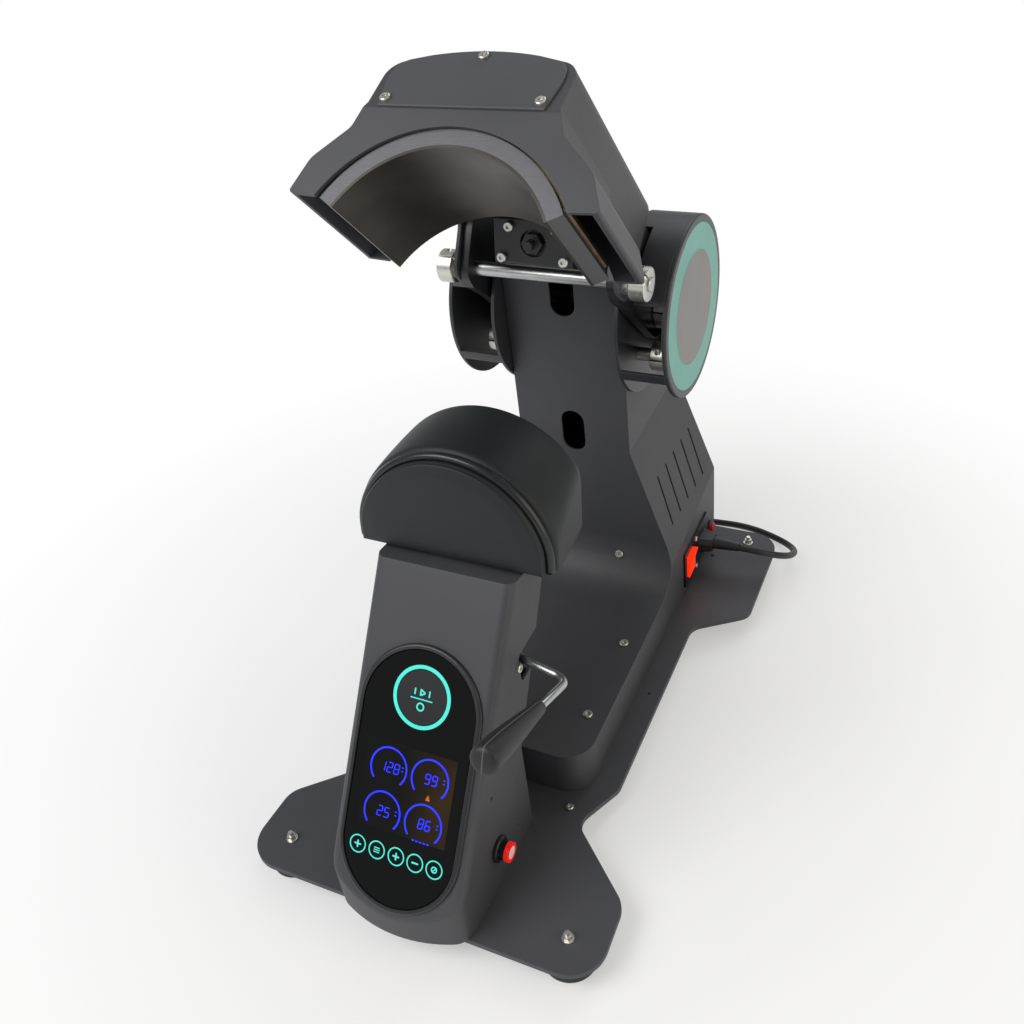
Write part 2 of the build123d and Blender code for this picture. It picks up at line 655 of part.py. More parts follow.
def head_housing():
    """Folded cover of the head: hollow, open at the arch and under the rear beam."""
    outer, inner = head_solid(0), head_solid(HEAD_SHEET)
    mouth = along_y(Pos(0, 90) * Rectangle(2 * (BEAM_HALF - HEAD_SHEET), 78), 140, BEAM_REAR + 1)
    arch = along_y(Pos(0, -ARCH_DROP) * Circle(ARCH_R), -1, HEAD_DEPTH + 10)
    shell = outer - inner - mouth - arch
    window = cover_frame() * extrude(cover_outline(9), 8, both=True)
    shell -= window
    shell -= pin_x(ROD_R, -80, 80, ROD_Y, ROD_Z)
    return HEAD.location * shell


def cover_frame():
    """Frame of the tilted cover: x across, y up along it, z outward."""
    tilt = math.radians(COVER_TILT)
    return Plane(origin=(0, 0, COVER_LOW), x_dir=(1, 0, 0),
                 z_dir=(0, -math.cos(tilt), math.sin(tilt))).location


def cover_outline(shrink=0.0):
    half, top = 65.0, 52.0
    crown = ThreePointArc((-half + 24, top), (0, top + 4.5), (half - 24, top))
    right = FilletPolyline((half - 24, top), (half, top - 7), (half + 1, 26), (half - 3, 0.5),
                           radius=[15, 20])
    foot = Line((half - 3, 0.5), (-half + 3, 0.5))
    left = FilletPolyline((-half + 3, 0.5), (-half - 1, 26), (-half, top - 7), (-half + 24, top),
                          radius=[20, 15])
    face = make_face(Wire([crown.edge(), *right.edges(), foot.edge(), *left.edges()]))
    return offset(face, -shrink) if shrink else face


def head_cover():
    plate = extrude(cover_outline(), 2.0)
    plate = chamfer(plate.edges().group_by(Axis.Z)[-1], 0.5)
    return HEAD.location * cover_frame() * plate


def cover_screws():
    places = [(-58, 6.5), (58, 6.5), (0, 50)]
    return [HEAD.location * cover_frame() * Pos(x, y, 2) * screw(3.8, 2.6, 1.8, 7) for x, y in places]


def platen_block():
    """Cast heater block: a thick arc with four bosses up to the carrier plate."""
    arc = along_y(ring_sector(PLATEN_OUT, PLATEN_IN, PLATEN_FROM, 180 - PLATEN_FROM), 3, 105)
    bosses = along_z(Circle(9), 80, CARRIER_Z)
    for x in (-34, 34):
        for y in (34, 84):
            arc += Pos(x, y, 0) * bosses - pin_y(PLATEN_IN + 4)
    return HEAD.location * arc


def pin_y(radius):
    return along_y(Circle(radius), -20, 200)


def platen_liner():
    """Non-stick sheet on the hot face."""
    arc = ring_sector(PLATEN_IN, PLATEN_IN - LINER_T, PLATEN_FROM, 180 - PLATEN_FROM)
    return HEAD.location * along_y(arc, 3, 105)


def heater_band():
    """Two heating elements on the flanks of the block."""
    arc = ring_sector(PLATEN_OUT + 2, PLATEN_OUT, PLATEN_FROM + 4, 62)
    right = HEAD.location * along_y(arc, 8, 100)
    return both_sides(right)


def pivot_in_head():
    place = HEAD.to_local_coords(Vector(0, PIVOT_Y, PIVOT_Z))
    return place.Y, place.Z


def arm_outline():
    y, z = pivot_in_head()
    plate = polygon([(24, CARRIER_Z), (24, 141), (205, 139), (y, z + 30), (y, z - 30), (222, 68),
                     (ROD_Y + 5, 64), (ROD_Y - 12, 68), (164, 113), (152, CARRIER_Z)],
                    [6, 6, 20, 0, 0, 20, 12, 12, 14, 4])
    plate += Pos(y, z) * Circle(30)
    return plate - Pos(ROD_Y, ROD_Z) * Circle(ROD_R) - Pos(y, z) * Circle(SHAFT_R)


def hinge_arm():
    return HEAD.location * along_x(arm_outline(), ARM_IN, ARM_OUT)


def arm_hub():
    """Clamp hub that keys the arm to the hinge shaft."""
    return clamp_collar(ARM_OUT, ARM_OUT + 14, PIVOT_Y, PIVOT_Z, SHAFT_R, 21)


def cross_rod():
    rod = pin_x(ROD_R, -94, 94, ROD_Y, ROD_Z)
    return HEAD.location * chamfer(rod.edges().filter_by(GeomType.CIRCLE), 0.8)


def rod_collars():
    collar = clamp_collar(78, 92, ROD_Y, ROD_Z, ROD_R, 14)
    spacer = pin_x(10, BEAM_HALF, 78, ROD_Y, ROD_Z) - pin_x(ROD_R, BEAM_HALF, 78, ROD_Y, ROD_Z)
    return [HEAD.location * s for part in (collar, spacer) for s in both_sides(part)]


def pressure_face():
    """Frame of the block's sloping front face, z pointing out of it."""
    return HEAD.location * Location((0, 159, 92.5), (PRESSURE_LEAN, 0, 0))


def carrier():
    """Plate between the arms that bears the platen, with the pressure block behind."""
    plate = along_z(Pos(0, 92) * Rectangle(2 * ARM_IN, 130), CARRIER_Z, CARRIER_Z + 6)
    profile = polygon([(148, 107), (170, 78), (182, 92), (182, 124), (148, 124)], [2, 2, 2, 0, 0])
    block = along_x(profile, -34, 34)
    return HEAD.location * (plate + block) - pressure_face() * extrude(Circle(11), 14, both=True)


def pressure_screw():
    """Hexagon adjusting screw with its lock nut, in the middle of the block."""
    body = Pos(0, 0, -14) * extrude(Circle(11), 10)
    nut = Pos(0, 0, -4) * extrude(RegularPolygon(9, 6), 7)
    stud = Pos(0, 0, 3) * extrude(Circle(4), 8)
    return pressure_face() * (body + nut + stud)


def carrier_screws():
    places = [(sx * x, y) for sx in (-1, 1) for x, y in ((27, -12.5), (20, 12.5))]
    return [pressure_face() * Pos(x, y, 0) * screw(4, 4, 2, 10) for x, y in places]


# ---------------------------------------------------------------- drive

def hinge_shaft():
    return pin_x(SHAFT_R, -88, 88, PIVOT_Y, PIVOT_Z)


def crank_pin_place():
    """The pin swings evenly either side of level, so the strut hardly leans."""
    half = math.radians(CLOSING / 2)
    return PIVOT_Y + CRANK_R * math.cos(half), PIVOT_Z - CRANK_R * math.sin(half)


def crank():
    """Two cheeks clamped on the shaft, with the pin that the strut pushes."""
    pin_y, pin_z = crank_pin_place()
    boss, eye = Pos(PIVOT_Y, PIVOT_Z) * Circle(17), Pos(pin_y, pin_z) * Circle(8)
    web = make_hull(boss.edges() + eye.edges()) - Pos(PIVOT_Y, PIVOT_Z) * Circle(SHAFT_R)
    return both_sides(along_x(web, 9, 15)) + [pin_x(4, -9, 9, pin_y, pin_z)]


def strut():
    """Electric telescopic strut: the tube, and the rod that slides in it."""
    _, pin_z = crank_pin_place()
    travel = 2 * CRANK_R * math.sin(math.radians(CLOSING / 2))
    low, buried = STRUT_FOOT + 8, STRUT_TOP - 45 - travel
    tube = Pos(0, STRUT_Y, low) * extrude(Circle(STRUT_R), STRUT_TOP - low)
    tube = chamfer(tube.edges().group_by(Axis.Z)[-1], 2)
    tube -= Pos(0, STRUT_Y, low + 40) * extrude(Circle(STRUT_ROD_R + 0.05), STRUT_TOP)
    foot = Pos(0, STRUT_Y, STRUT_FOOT + 1) * Box(14, 14, 16)
    foot -= pin_x(3.0, -20, 20, STRUT_Y, STRUT_FOOT)
    rod = Pos(0, STRUT_Y, buried) * extrude(Circle(STRUT_ROD_R), pin_z - 9 - buried)
    eye = along_x(Pos(STRUT_Y, pin_z) * (Circle(10.5) - Circle(6.2)), -7, 7)
    socket = pin_x(6.2, -7, 7, STRUT_Y, pin_z)
    return tube + foot, (rod - socket) + eye


def strut_bracket():
    """Fork on the plate, with the clevis pin that holds the strut's foot."""
    fork = polygon([(STRUT_Y - 14, DECK_Z), (STRUT_Y + 14, DECK_Z), (STRUT_Y + 8, 63),
                    (STRUT_Y - 8, 63)], [0, 0, 5, 5])
    pin = pin_x(3.0, -7, 7, STRUT_Y, STRUT_FOOT)
    base = Pos(0, STRUT_Y, DECK_Z + 2) * Box(24, 28, 4)
    return both_sides(along_x(fork, 7, 12)) + [base, pin]


def drive_motor():
    """Gear case round the strut's lower end, with the motor standing beside it."""
    case = Pos(0, STRUT_Y - 12, 84) * Box(42, 66, 18)
    case = fillet(case.edges().filter_by(Axis.Z), 12)
    case -= Pos(0, STRUT_Y, 84) * Cylinder(STRUT_R, 40)
    motor = Pos(0, STRUT_Y - 40, 93) * extrude(Circle(14), 62)
    return case + chamfer(motor.edges().group_by(Axis.Z)[-1], 3)


def power_supply():
    case = Pos(-72, 205, 52) * Box(34, 110, 50 - 0.4)
    return chamfer(case.edges().filter_by(Axis.Y), 1.5)


# ---------------------------------------------------------------- power inlet

def inlet_window():
    opening = Pos(INLET_Y, INLET_Z) * Rectangle(INLET_LONG - 8, INLET_TALL - 8)
    return along_x(opening, 85, 105) + pin_x(5, 85, 105, FUSE_Y, FUSE_Z)


def on_wall(shape, y=INLET_Y, z=INLET_Z):
    """Stand a part, made along +Z, on the right wall: local x is down, y is back."""
    return Location((HOUSE_HALF, y, z), (0, 90, 0)) * shape


def inlet_body():
    """Flange, rocker frame and three-pin appliance socket in one moulding."""
    flange = extrude(RectangleRounded(INLET_TALL, INLET_LONG, 3), FLANGE_T)
    case = Pos(0, 0, -24) * extrude(Rectangle(INLET_TALL - 8.4, INLET_LONG - 8.4), 24)
    body = flange + case
    body -= Pos(INLET_Z - ROCKER_Z, ROCKER_Y - INLET_Y, -14) * extrude(
        Rectangle(ROCKER_TALL + 1.6, ROCKER_WIDE + 0.6), 20)
    well = Pos(0, SOCKET_Y - INLET_Y, -15)
    body -= well * extrude(RectangleRounded(17, 25, 3), 20)
    pins = [well * Pos(dx, dy, 0) * extrude(Rectangle(2, 4), 13)
            for dx, dy in ((-2, -7), (-2, 7), (3, 0))]
    return on_wall(body + pins)


def inlet_screws():
    places = [(-INLET_TALL / 2 + 4, -5), (INLET_TALL / 2 - 4, -5)]
    return [on_wall(Pos(dx, dy, FLANGE_T) * screw(3, 2, 1.5, 6)) for dx, dy in places]


def rocker():
    """Rocker cap, a shallow V seen from the side, bored for its cross pin."""
    half, dip = ROCKER_TALL / 2, 4.6
    rise = 2 * half * math.tan(math.radians(ROCKER_TILT))
    profile = Polyline((-half, dip + rise), (0, dip), (half, dip), (half - 1.5, -2), (3, -5),
                       (-3, -5), (-half + 1.5, -2), close=True)
    cap = extrude(Plane.XZ * make_face(profile), amount=ROCKER_WIDE / 2, both=True)
    cap -= Rot(90, 0, 0) * Cylinder(1.5 + RUN_GAP, 40)
    return on_wall(cap, ROCKER_Y, ROCKER_Z)


def rocker_pin():
    return on_wall(Rot(90, 0, 0) * Cylinder(1.5, ROCKER_WIDE + 0.6), ROCKER_Y, ROCKER_Z)


def fuse_holder():
    body = extrude(Circle(7.5), 2) + Pos(0, 0, -18) * extrude(Circle(5), 18)
    return on_wall(body, FUSE_Y, FUSE_Z)


def fuse_cap():
    cap = Pos(0, 0, 2) * extrude(Circle(5), 4)
    return on_wall(fillet(cap.edges().group_by(Axis.Z)[-1], 1), FUSE_Y, FUSE_Z)


# ---------------------------------------------------------------- mains cord

def mains_connector():
    """Appliance connector: block in the socket, grip and tapered boot outside."""
    plug = Pos(0, 0, -12) * extrude(RectangleRounded(16.4, 24.4, 3), 12 + FLANGE_T)
    stem = CONNECTOR_END - HOUSE_HALF
    grip = loft([Pos(0, 0, FLANGE_T) * RectangleRounded(18, 26, 5),
                 Pos(0, 0, 16) * RectangleRounded(15, 18, 5)])
    boot = Pos(0, 0, 16) * Cone(6.5, CORD_R + 0.8, stem - 16, align=(Align.CENTER, Align.CENTER, Align.MIN))
    holes = [Pos(dx, dy, -13) * extrude(Rectangle(2.2, 4.2), 12)
             for dx, dy in ((-2, -7), (-2, 7), (3, 0))]
    return on_wall(plug + grip + boot - holes, SOCKET_Y, INLET_Z)


def mains_cord():
    """Cord over the plate and round behind the housing, as runs joined by arcs."""
    points = [Vector(*p) for p in CORD_ROUTE]
    radii = []
    for before, here, after in zip(points, points[1:], points[2:]):
        turn = math.radians((here - before).get_angle(after - here))
        shorter = min((here - before).length, (after - here).length)
        radii.append(0.45 * shorter / math.tan(turn / 2))
    path = FilletPolyline(*points, radius=radii)
    tube = sweep(Plane(origin=points[0], z_dir=points[1] - points[0]) * Circle(CORD_R), path)
    length = sum(edge.length for edge in path.edges())
    print("cord radii", [round(r, 1) for r in radii], "length", round(length, 1))
    print("cord volume ratio", round(tube.volume / (math.pi * CORD_R ** 2 * length), 4))
    return tube


def cord_coil():
    """Outer shape of the neatly wound rest of the cord, lying on the floor."""
    ring = Circle(COIL_R + COIL_WIDE / 2) - Circle(COIL_R - COIL_WIDE / 2)
    coil = extrude(ring, COIL_HIGH)
    return Pos(*COIL_AT) * fillet(coil.edges(), CORD_R - 0.2)


def wall_plug():
    """Moulded plug beside the coil: two flat blades and a round earth pin."""
    boot = Cone(CORD_R + 0.8, 7, 24, align=(Align.CENTER, Align.CENTER, Align.MIN))
    body = loft([Pos(0, 0, 24) * Circle(8), Pos(0, 0, 42) * RectangleRounded(16, 27, 6),
                 Pos(0, 0, 56) * RectangleRounded(17, 27, 6)])
    blades = [Pos(-3, s * 6.3, 56) * extrude(Rectangle(6.4, 1.5), 16) for s in (-1, 1)]
    earth = Pos(4.5, 0, 56) * extrude(Circle(2.4), 18)
    return Location(PLUG_AT, (0, 90, 0)) * (boot + body + blades + earth)


def less(part, holes):
    """A part with the screws that pass through it taken out of it."""
    for hole in holes:
        part -= hole
    return part


def save_base():
    bolts = plate_bolts()
    save("base_plate", less(base_plate(), bolts))
    save("rubber_feet", *[Pos(x, y, 0) * rubber_foot() for x, y in foot_places()])
    save("foot_bolts", *[Pos(x, y, 0) * foot_bolt() for x, y in foot_places()])


def save_console():
    screws, bolts = side_screws(), saddle_bolts()
    save("console_shell", less(console_shell(), screws + bolts))
    save("panel_bezel", panel_bezel())
    save("touch_panel", touch_panel())
    save("control_board", control_board())
    save("button_body", button_body())
    save("button_cap", button_cap())
    save("side_screws", *screws, *inlet_screws())
    save("lever_rod", lever_rod())
    save("lever_grip", lever_grip())
    save("tension_shaft", tension_shaft())
    save("tension_cam", tension_cam())
    save("tension_bearings", *tension_bearings())
    save("saddle_form", less(saddle_form(), bolts))
    save("saddle_pad", saddle_pad())
    save("saddle_end", saddle_end())
    save("saddle_rim", saddle_rim())
    save("saddle_bolts", *bolts)


def save_housing():
    screws = deck_screws()
    skin, *others = housing_pieces()
    save("front_skin", less(skin, screws))
    for name, piece in zip(("side_panel_left", "side_panel_right", "rear_panel"), others):
        save(name, less(piece, inlet_screws()))
    save("housing_screws", *screws, *plate_bolts())
    save("column_frame", *column_frame())
    save("hinge_bearings", *hinge_bearings())
    for name, side in (("drum_shell_right", 0), ("drum_shell_left", 1)):
        save(name, both_sides(drum_shell())[side])
    save("drum_covers", *both_sides(drum_cover()))
    save("drum_bands", *both_sides(drum_band()))
    save("drum_centres", *both_sides(drum_centre()))
    save("stop_posts", *both_sides(stop_pin()), *both_sides(stop_collar()))


def save_head():
    screws = cover_screws() + carrier_screws()
    save("head_housing", less(head_housing(), screws))
    save("head_cover", less(head_cover(), screws))
    save("head_screws", *screws)
    save("platen_block", platen_block())
    save("platen_liner", platen_liner())
    save("heater_bands", *heater_band())
    save("head_carrier", less(carrier(), screws))
    save("pressure_screw", pressure_screw())
    save("hinge_arms", *both_sides(hinge_arm()))
    save("arm_hubs", *both_sides(arm_hub()))
    save("cross_rod", cross_rod())
    save("rod_collars", *rod_collars())


def save_drive():
    save("hinge_shaft", hinge_shaft())
    save("crank", *crank())
    tube, rod = strut()
    save("strut_tube", tube)
    save("strut_rod", rod)
    save("strut_bracket", *strut_bracket())
    save("drive_motor", drive_motor())


def save_power():
    save("power_supply", power_supply())
    save("inlet_body", less(inlet_body(), inlet_screws()), rocker_pin(), fuse_holder())
    save("rocker", rocker())
    save("fuse_cap", fuse_cap())
    save("mains_connector", mains_connector())
    save("mains_cord", mains_cord())
    save("cord_coil", cord_coil())
    save("wall_plug", wall_plug())


def main():
    os.makedirs("parts", exist_ok=True)
    save_base()
    save_console()
    save_housing()
    save_head()
    save_drive()
    save_power()
    print(len(DRAWN), "nodes")


main()
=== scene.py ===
import math

import bmesh
import bpy
from mathutils import Matrix, Vector


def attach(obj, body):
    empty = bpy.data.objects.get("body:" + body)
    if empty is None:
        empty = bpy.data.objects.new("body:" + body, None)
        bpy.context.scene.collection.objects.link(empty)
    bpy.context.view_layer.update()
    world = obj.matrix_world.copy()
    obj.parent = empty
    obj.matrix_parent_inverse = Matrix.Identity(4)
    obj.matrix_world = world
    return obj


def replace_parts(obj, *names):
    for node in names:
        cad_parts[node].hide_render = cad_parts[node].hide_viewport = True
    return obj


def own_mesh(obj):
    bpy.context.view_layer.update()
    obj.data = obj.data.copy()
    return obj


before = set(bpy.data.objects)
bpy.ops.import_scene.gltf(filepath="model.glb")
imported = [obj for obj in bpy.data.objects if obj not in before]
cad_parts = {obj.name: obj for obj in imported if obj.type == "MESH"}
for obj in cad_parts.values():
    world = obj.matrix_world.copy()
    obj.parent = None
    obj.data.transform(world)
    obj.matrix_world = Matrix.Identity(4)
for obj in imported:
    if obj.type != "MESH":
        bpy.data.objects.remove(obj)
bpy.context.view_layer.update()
MM = 0.001


# ---- camera -------------------------------------------------------------

CAMERA_AT = Vector((0.3507, -0.6218, 0.7752))
TURN, DIP, ROLL = (math.radians(d) for d in (29.316, 36.359, -7.748))
FOCAL_PX, FRAME_PX = 1055.5, 1024.0
CENTRE_PX = (514.28, 495.99)
SENSOR_MM = 36.0


def make_camera():
    """Camera over the operator's right shoulder, looking down on the press."""
    right = Vector((math.cos(TURN), math.sin(TURN), 0))
    level = Vector((-math.sin(TURN), math.cos(TURN), 0))
    ahead = math.cos(DIP) * level - Vector((0, 0, math.sin(DIP)))
    up = right.cross(ahead)
    rolled_right = math.cos(ROLL) * right + math.sin(ROLL) * up
    rolled_up = -math.sin(ROLL) * right + math.cos(ROLL) * up
    lens = bpy.data.cameras.new("camera")
    lens.sensor_width = SENSOR_MM
    lens.lens = FOCAL_PX / FRAME_PX * SENSOR_MM
    lens.shift_x = (FRAME_PX / 2 - CENTRE_PX[0]) / FRAME_PX
    lens.shift_y = (CENTRE_PX[1] - FRAME_PX / 2) / FRAME_PX
    lens.clip_start, lens.clip_end = 0.01, 20
    camera = bpy.data.objects.new("camera", lens)
    turned = Matrix((rolled_right, rolled_up, -ahead)).transposed().to_4x4()
    camera.matrix_world = Matrix.Translation(CAMERA_AT) @ turned
    bpy.context.scene.collection.objects.link(camera)
    bpy.context.scene.camera = camera


# ---- how materials are put together ---------------------------------------

def linear(hex_code):
    """sRGB hex to the linear values that the shader takes."""
    channels = [int(hex_code[i:i + 2], 16) / 255 for i in (0, 2, 4)]
    return [c / 12.92 if c <= 0.04045 else ((c + 0.055) / 1.055) ** 2.4 for c in channels] + [1.0]


def add(material, kind, settings=None, links=None):
    """Add one node: its settings and socket values, then the outputs that feed its inputs."""
    tree = material.node_tree
    node = tree.nodes.new(kind)
    for name, value in (settings or {}).items():
        if isinstance(name, int) or name in node.inputs:
            node.inputs[name].default_value = value
        else:
            setattr(node, name, value)
    for name, source in (links or {}).items():
        tree.links.new(source, node.inputs[name])
    return node


def start(name, hex_code, **values):
    """A material whose shader carries its uniform values; returns it, the shader and its place."""
    material = bpy.data.materials.new(name)
    material.use_nodes = True
    shader = material.node_tree.nodes["Principled BSDF"]
    shader.inputs["Base Color"].default_value = linear(hex_code)
    for key, value in values.items():
        shader.inputs[key.replace("_", " ").title().replace("Ior", "IOR")].default_value = value
    return material, shader, add(material, "ShaderNodeTexCoord").outputs["Object"]


def join(material, output, shader, socket):
    material.node_tree.links.new(output, shader.inputs[socket])


def per_metre(size_mm):
    """Texture scale that repeats a pattern every so many millimetres."""
    return 1000.0 / size_mm


def mottle(material, shader, place, size_mm, dark, light):
    """Slow change of colour across the surface, as an uneven coat or casting shows."""
    clouds = add(material, "ShaderNodeTexNoise", {"Scale": per_metre(size_mm), "Detail": 4.0},
                 {"Vector": place})
    spread = add(material, "ShaderNodeMapRange", {"From Min": 0.3, "From Max": 0.7},
                 {"Value": clouds.outputs["Fac"]})
    mix = add(material, "ShaderNodeMix", {"data_type": "RGBA", 6: linear(dark), 7: linear(light)},
              {0: spread.outputs["Result"]})
    join(material, mix.outputs[2], shader, "Base Color")
    return mix


def relief(material, shader, height, depth_mm, strength, edge_mm=0.0):
    """Bump from a height field, over edges that catch the light as if eased by edge_mm."""
    bump = add(material, "ShaderNodeBump", {"Strength": strength, "Distance": depth_mm * MM},
               {"Height": height})
    if edge_mm:
        eased = add(material, "ShaderNodeBevel", {"samples": 4, "Radius": edge_mm * MM})
        material.node_tree.links.new(eased.outputs["Normal"], bump.inputs["Normal"])
    join(material, bump.outputs["Normal"], shader, "Normal")


LEVER_X = 97.0      # middle of the lever's outer arm, and of its grip's flash line


# ---- finishes ---------------------------------------------------------------

def powder_coat(name, dark, light, abraded_and_lit_edge, roughness):
    """Polyester powder baked on sheet steel: dull, finely pebbled, paler along the folds, partly from
    rubbing and partly a painted highlight.
    """
    material, shader, place = start(name, dark, roughness=roughness, ior=1.5)
    coat = mottle(material, shader, place, 90, dark, light)
    # the real pebble is about 0.4 mm; it is drawn at 1.1 mm so that it shows
    pebble = add(material, "ShaderNodeTexNoise",
                 {"Scale": per_metre(1.1), "Detail": 3.0, "Roughness": 0.6}, {"Vector": place})
    relief(material, shader, pebble.outputs["Fac"], 0.16, 0.32, edge_mm=0.9)
    # paler folds: a lighter colour mixed in where the eased normal turns from the true one, partly from
    # rubbing and partly a painted highlight on the edges
    fold = add(material, "ShaderNodeBevel", {"samples": 4, "Radius": 1.1 * MM})
    flat = add(material, "ShaderNodeNewGeometry")
    agree = add(material, "ShaderNodeVectorMath", {"operation": "DOT_PRODUCT"},
                {0: fold.outputs["Normal"], 1: flat.outputs["Normal"]})
    fold_abrasion_and_highlight = add(material, "ShaderNodeMapRange", {"From Min": 0.985, "From Max": 0.86, "To Max": 0.45},
               {"Value": agree.outputs["Value"]})
    with_marks = add(material, "ShaderNodeMix", {"data_type": "RGBA", 7: linear(abraded_and_lit_edge)},
               {0: fold_abrasion_and_highlight.outputs["Result"], 6: coat.outputs[2]})
    join(material, with_marks.outputs[2], shader, "Base Color")
    speckle = add(material, "ShaderNodeMapRange", {"To Min": roughness - 0.08, "To Max": roughness + 0.10},
                  {"Value": pebble.outputs["Fac"]})
    join(material, speckle.outputs["Result"], shader, "Roughness")
    return material


def black_gloss_paint():
    """Stoved black paint on the arms and brackets: smooth, with soft bright edges."""
    material, shader, place = start("stoved black paint", "1b1c1f", roughness=0.34, ior=1.5)
    mottle(material, shader, place, 30, "191a1d", "242529")
    peel = add(material, "ShaderNodeTexNoise", {"Scale": per_metre(3.0), "Detail": 2.0}, {"Vector": place})
    relief(material, shader, peel.outputs["Fac"], 0.1, 0.2, edge_mm=0.7)
    return material


def bright_metal(name, hex_code, roughness, grain_mm, warm):
    """Plated or polished steel: mirror-like, with fine marks of tooling and handling."""
    material, shader, place = start(name, hex_code, roughness=roughness, metallic=1.0)
    mottle(material, shader, place, 14, hex_code, warm)
    marks = add(material, "ShaderNodeTexNoise",
                {"Scale": per_metre(grain_mm), "Detail": 5.0, "Roughness": 0.7}, {"Vector": place})
    with_marks = add(material, "ShaderNodeMapRange", {"To Min": roughness * 0.6, "To Max": roughness * 1.5},
               {"Value": marks.outputs["Fac"]})
    join(material, with_marks.outputs["Result"], shader, "Roughness")
    relief(material, shader, marks.outputs["Fac"], 0.03, 0.25, edge_mm=0.35)
    return material


def milled_aluminium():
    """Cast aluminium with its faces milled: soft grey sheen, drawn out along the cutter's path."""
    material, shader, place = start("milled aluminium", "5e5f62", roughness=0.4, metallic=0.35)
    along = add(material, "ShaderNodeMapping", {"Scale": (0.15, 1.0, 1.0)}, {"Vector": place})
    lines = add(material, "ShaderNodeTexNoise", {"Scale": per_metre(0.9), "Detail": 4.0},
                {"Vector": along.outputs["Vector"]})
    tone = add(material, "ShaderNodeMix", {"data_type": "RGBA", 6: linear("545558"), 7: linear("6c6c6f")},
               {0: lines.outputs["Fac"]})
    join(material, tone.outputs[2], shader, "Base Color")
    relief(material, shader, lines.outputs["Fac"], 0.05, 0.3, edge_mm=0.6)
    return material


def nonstick_sheet():
    """Non-stick coating on the platen's curved face: satin, near black, warm brown in the light."""
    material, shader, place = start("non-stick coated sheet", "35322f", roughness=0.36, metallic=0.55)
    mottle(material, shader, place, 45, "2e2c2a", "47433d")
    # threads of the glass cloth under the coating, 0.7 mm apart, drawn at 1.4 mm
    threads = add(material, "ShaderNodeTexWave", {"Scale": per_metre(1.4) / 20, "Distortion": 0.6,
                                                  "wave_profile": "SIN", "bands_direction": "Y"},
                  {"Vector": place})
    relief(material, shader, threads.outputs["Fac"], 0.02, 0.25)
    return material


def moulded_plastic(name, hex_code, roughness, spark_mm=0.9):
    """Injection-moulded plastic with the fine spark-eroded grain of its tool."""
    material, shader, place = start(name, hex_code, roughness=roughness, ior=1.49)
    grain = add(material, "ShaderNodeTexNoise", {"Scale": per_metre(spark_mm), "Detail": 2.0},
                {"Vector": place})
    relief(material, shader, grain.outputs["Fac"], 0.05, 0.25, edge_mm=0.4)
    sheen = add(material, "ShaderNodeMapRange", {"To Min": roughness - 0.07, "To Max": roughness + 0.09},
                {"Value": grain.outputs["Fac"]})
    join(material, sheen.outputs["Result"], shader, "Roughness")
    return material


def grip_rubber():
    """Black rubber sleeve, dulled by hands, with the pale flash line of its two-part mould."""
    material, shader, place = start("moulded rubber sleeve", "1f1f21", roughness=0.5)
    apart = add(material, "ShaderNodeSeparateXYZ", links={"Vector": place})
    off = add(material, "ShaderNodeMath", {"operation": "SUBTRACT", 1: LEVER_X * MM},
              {0: apart.outputs["X"]})
    away = add(material, "ShaderNodeMath", {"operation": "ABSOLUTE"}, {0: off.outputs["Value"]})
    line = add(material, "ShaderNodeMapRange", {"From Min": 0.7 * MM, "From Max": 0.2 * MM},
               {"Value": away.outputs["Value"]})
    tone = add(material, "ShaderNodeMix", {"data_type": "RGBA", 6: linear("1f1f21"), 7: linear("5a5a5c")},
               {0: line.outputs["Result"]})
    join(material, tone.outputs[2], shader, "Base Color")
    grain = add(material, "ShaderNodeTexNoise", {"Scale": per_metre(1.0), "Detail": 3.0}, {"Vector": place})
    height = add(material, "ShaderNodeMath", {"operation": "ADD"},
                 {0: grain.outputs["Fac"], 1: line.outputs["Result"]})
    relief(material, shader, height.outputs["Value"], 0.15, 0.3)
    return material


def saddle_cover(name, dark, light):
    """Heat-proof silicone foam with a skin: charcoal, dull, softly uneven where it has been pressed."""
    material, shader, place = start(name, dark, roughness=0.52, ior=1.43)
    shader.inputs["Sheen Weight"].default_value = 0.03
    mottle(material, shader, place, 55, dark, light)
    # the skin's pores are about 0.5 mm; drawn at 1.3 mm
    pores = add(material, "ShaderNodeTexVoronoi", {"Scale": per_metre(1.3)}, {"Vector": place})
    pressed = add(material, "ShaderNodeTexNoise", {"Scale": per_metre(22), "Detail": 2.0}, {"Vector": place})
    weighed = add(material, "ShaderNodeMath", {"operation": "MULTIPLY", 1: 6.0}, {0: pressed.outputs["Fac"]})
    height = add(material, "ShaderNodeMath", {"operation": "ADD"},
                 {0: pores.outputs["Distance"], 1: weighed.outputs["Value"]})
    relief(material, shader, height.outputs["Value"], 0.12, 0.3)
    return material


def rubber(name, hex_code):
    """Black vulcanised rubber: matt, a little dusty in its pores."""
    material, shader, place = start(name, hex_code, roughness=0.78)
    mottle(material, shader, place, 8, hex_code, "2a2a2b")
    pores = add(material, "ShaderNodeTexNoise", {"Scale": per_metre(0.9), "Detail": 3.0}, {"Vector": place})
    relief(material, shader, pores.outputs["Fac"], 0.12, 0.35, edge_mm=0.8)
    return material


def panel_glass():
    """Toughened glass printed black from behind: mirror-smooth, faintly smeared by fingers."""
    material, shader, place = start("back-printed glass", "050607", roughness=0.1, ior=1.4)
    smears = add(material, "ShaderNodeTexNoise", {"Scale": per_metre(26), "Detail": 3.0}, {"Vector": place})
    haze = add(material, "ShaderNodeMapRange",
               {"From Min": 0.4, "From Max": 0.8, "To Min": 0.08, "To Max": 0.18},
               {"Value": smears.outputs["Fac"]})
    join(material, haze.outputs["Result"], shader, "Roughness")
    return material


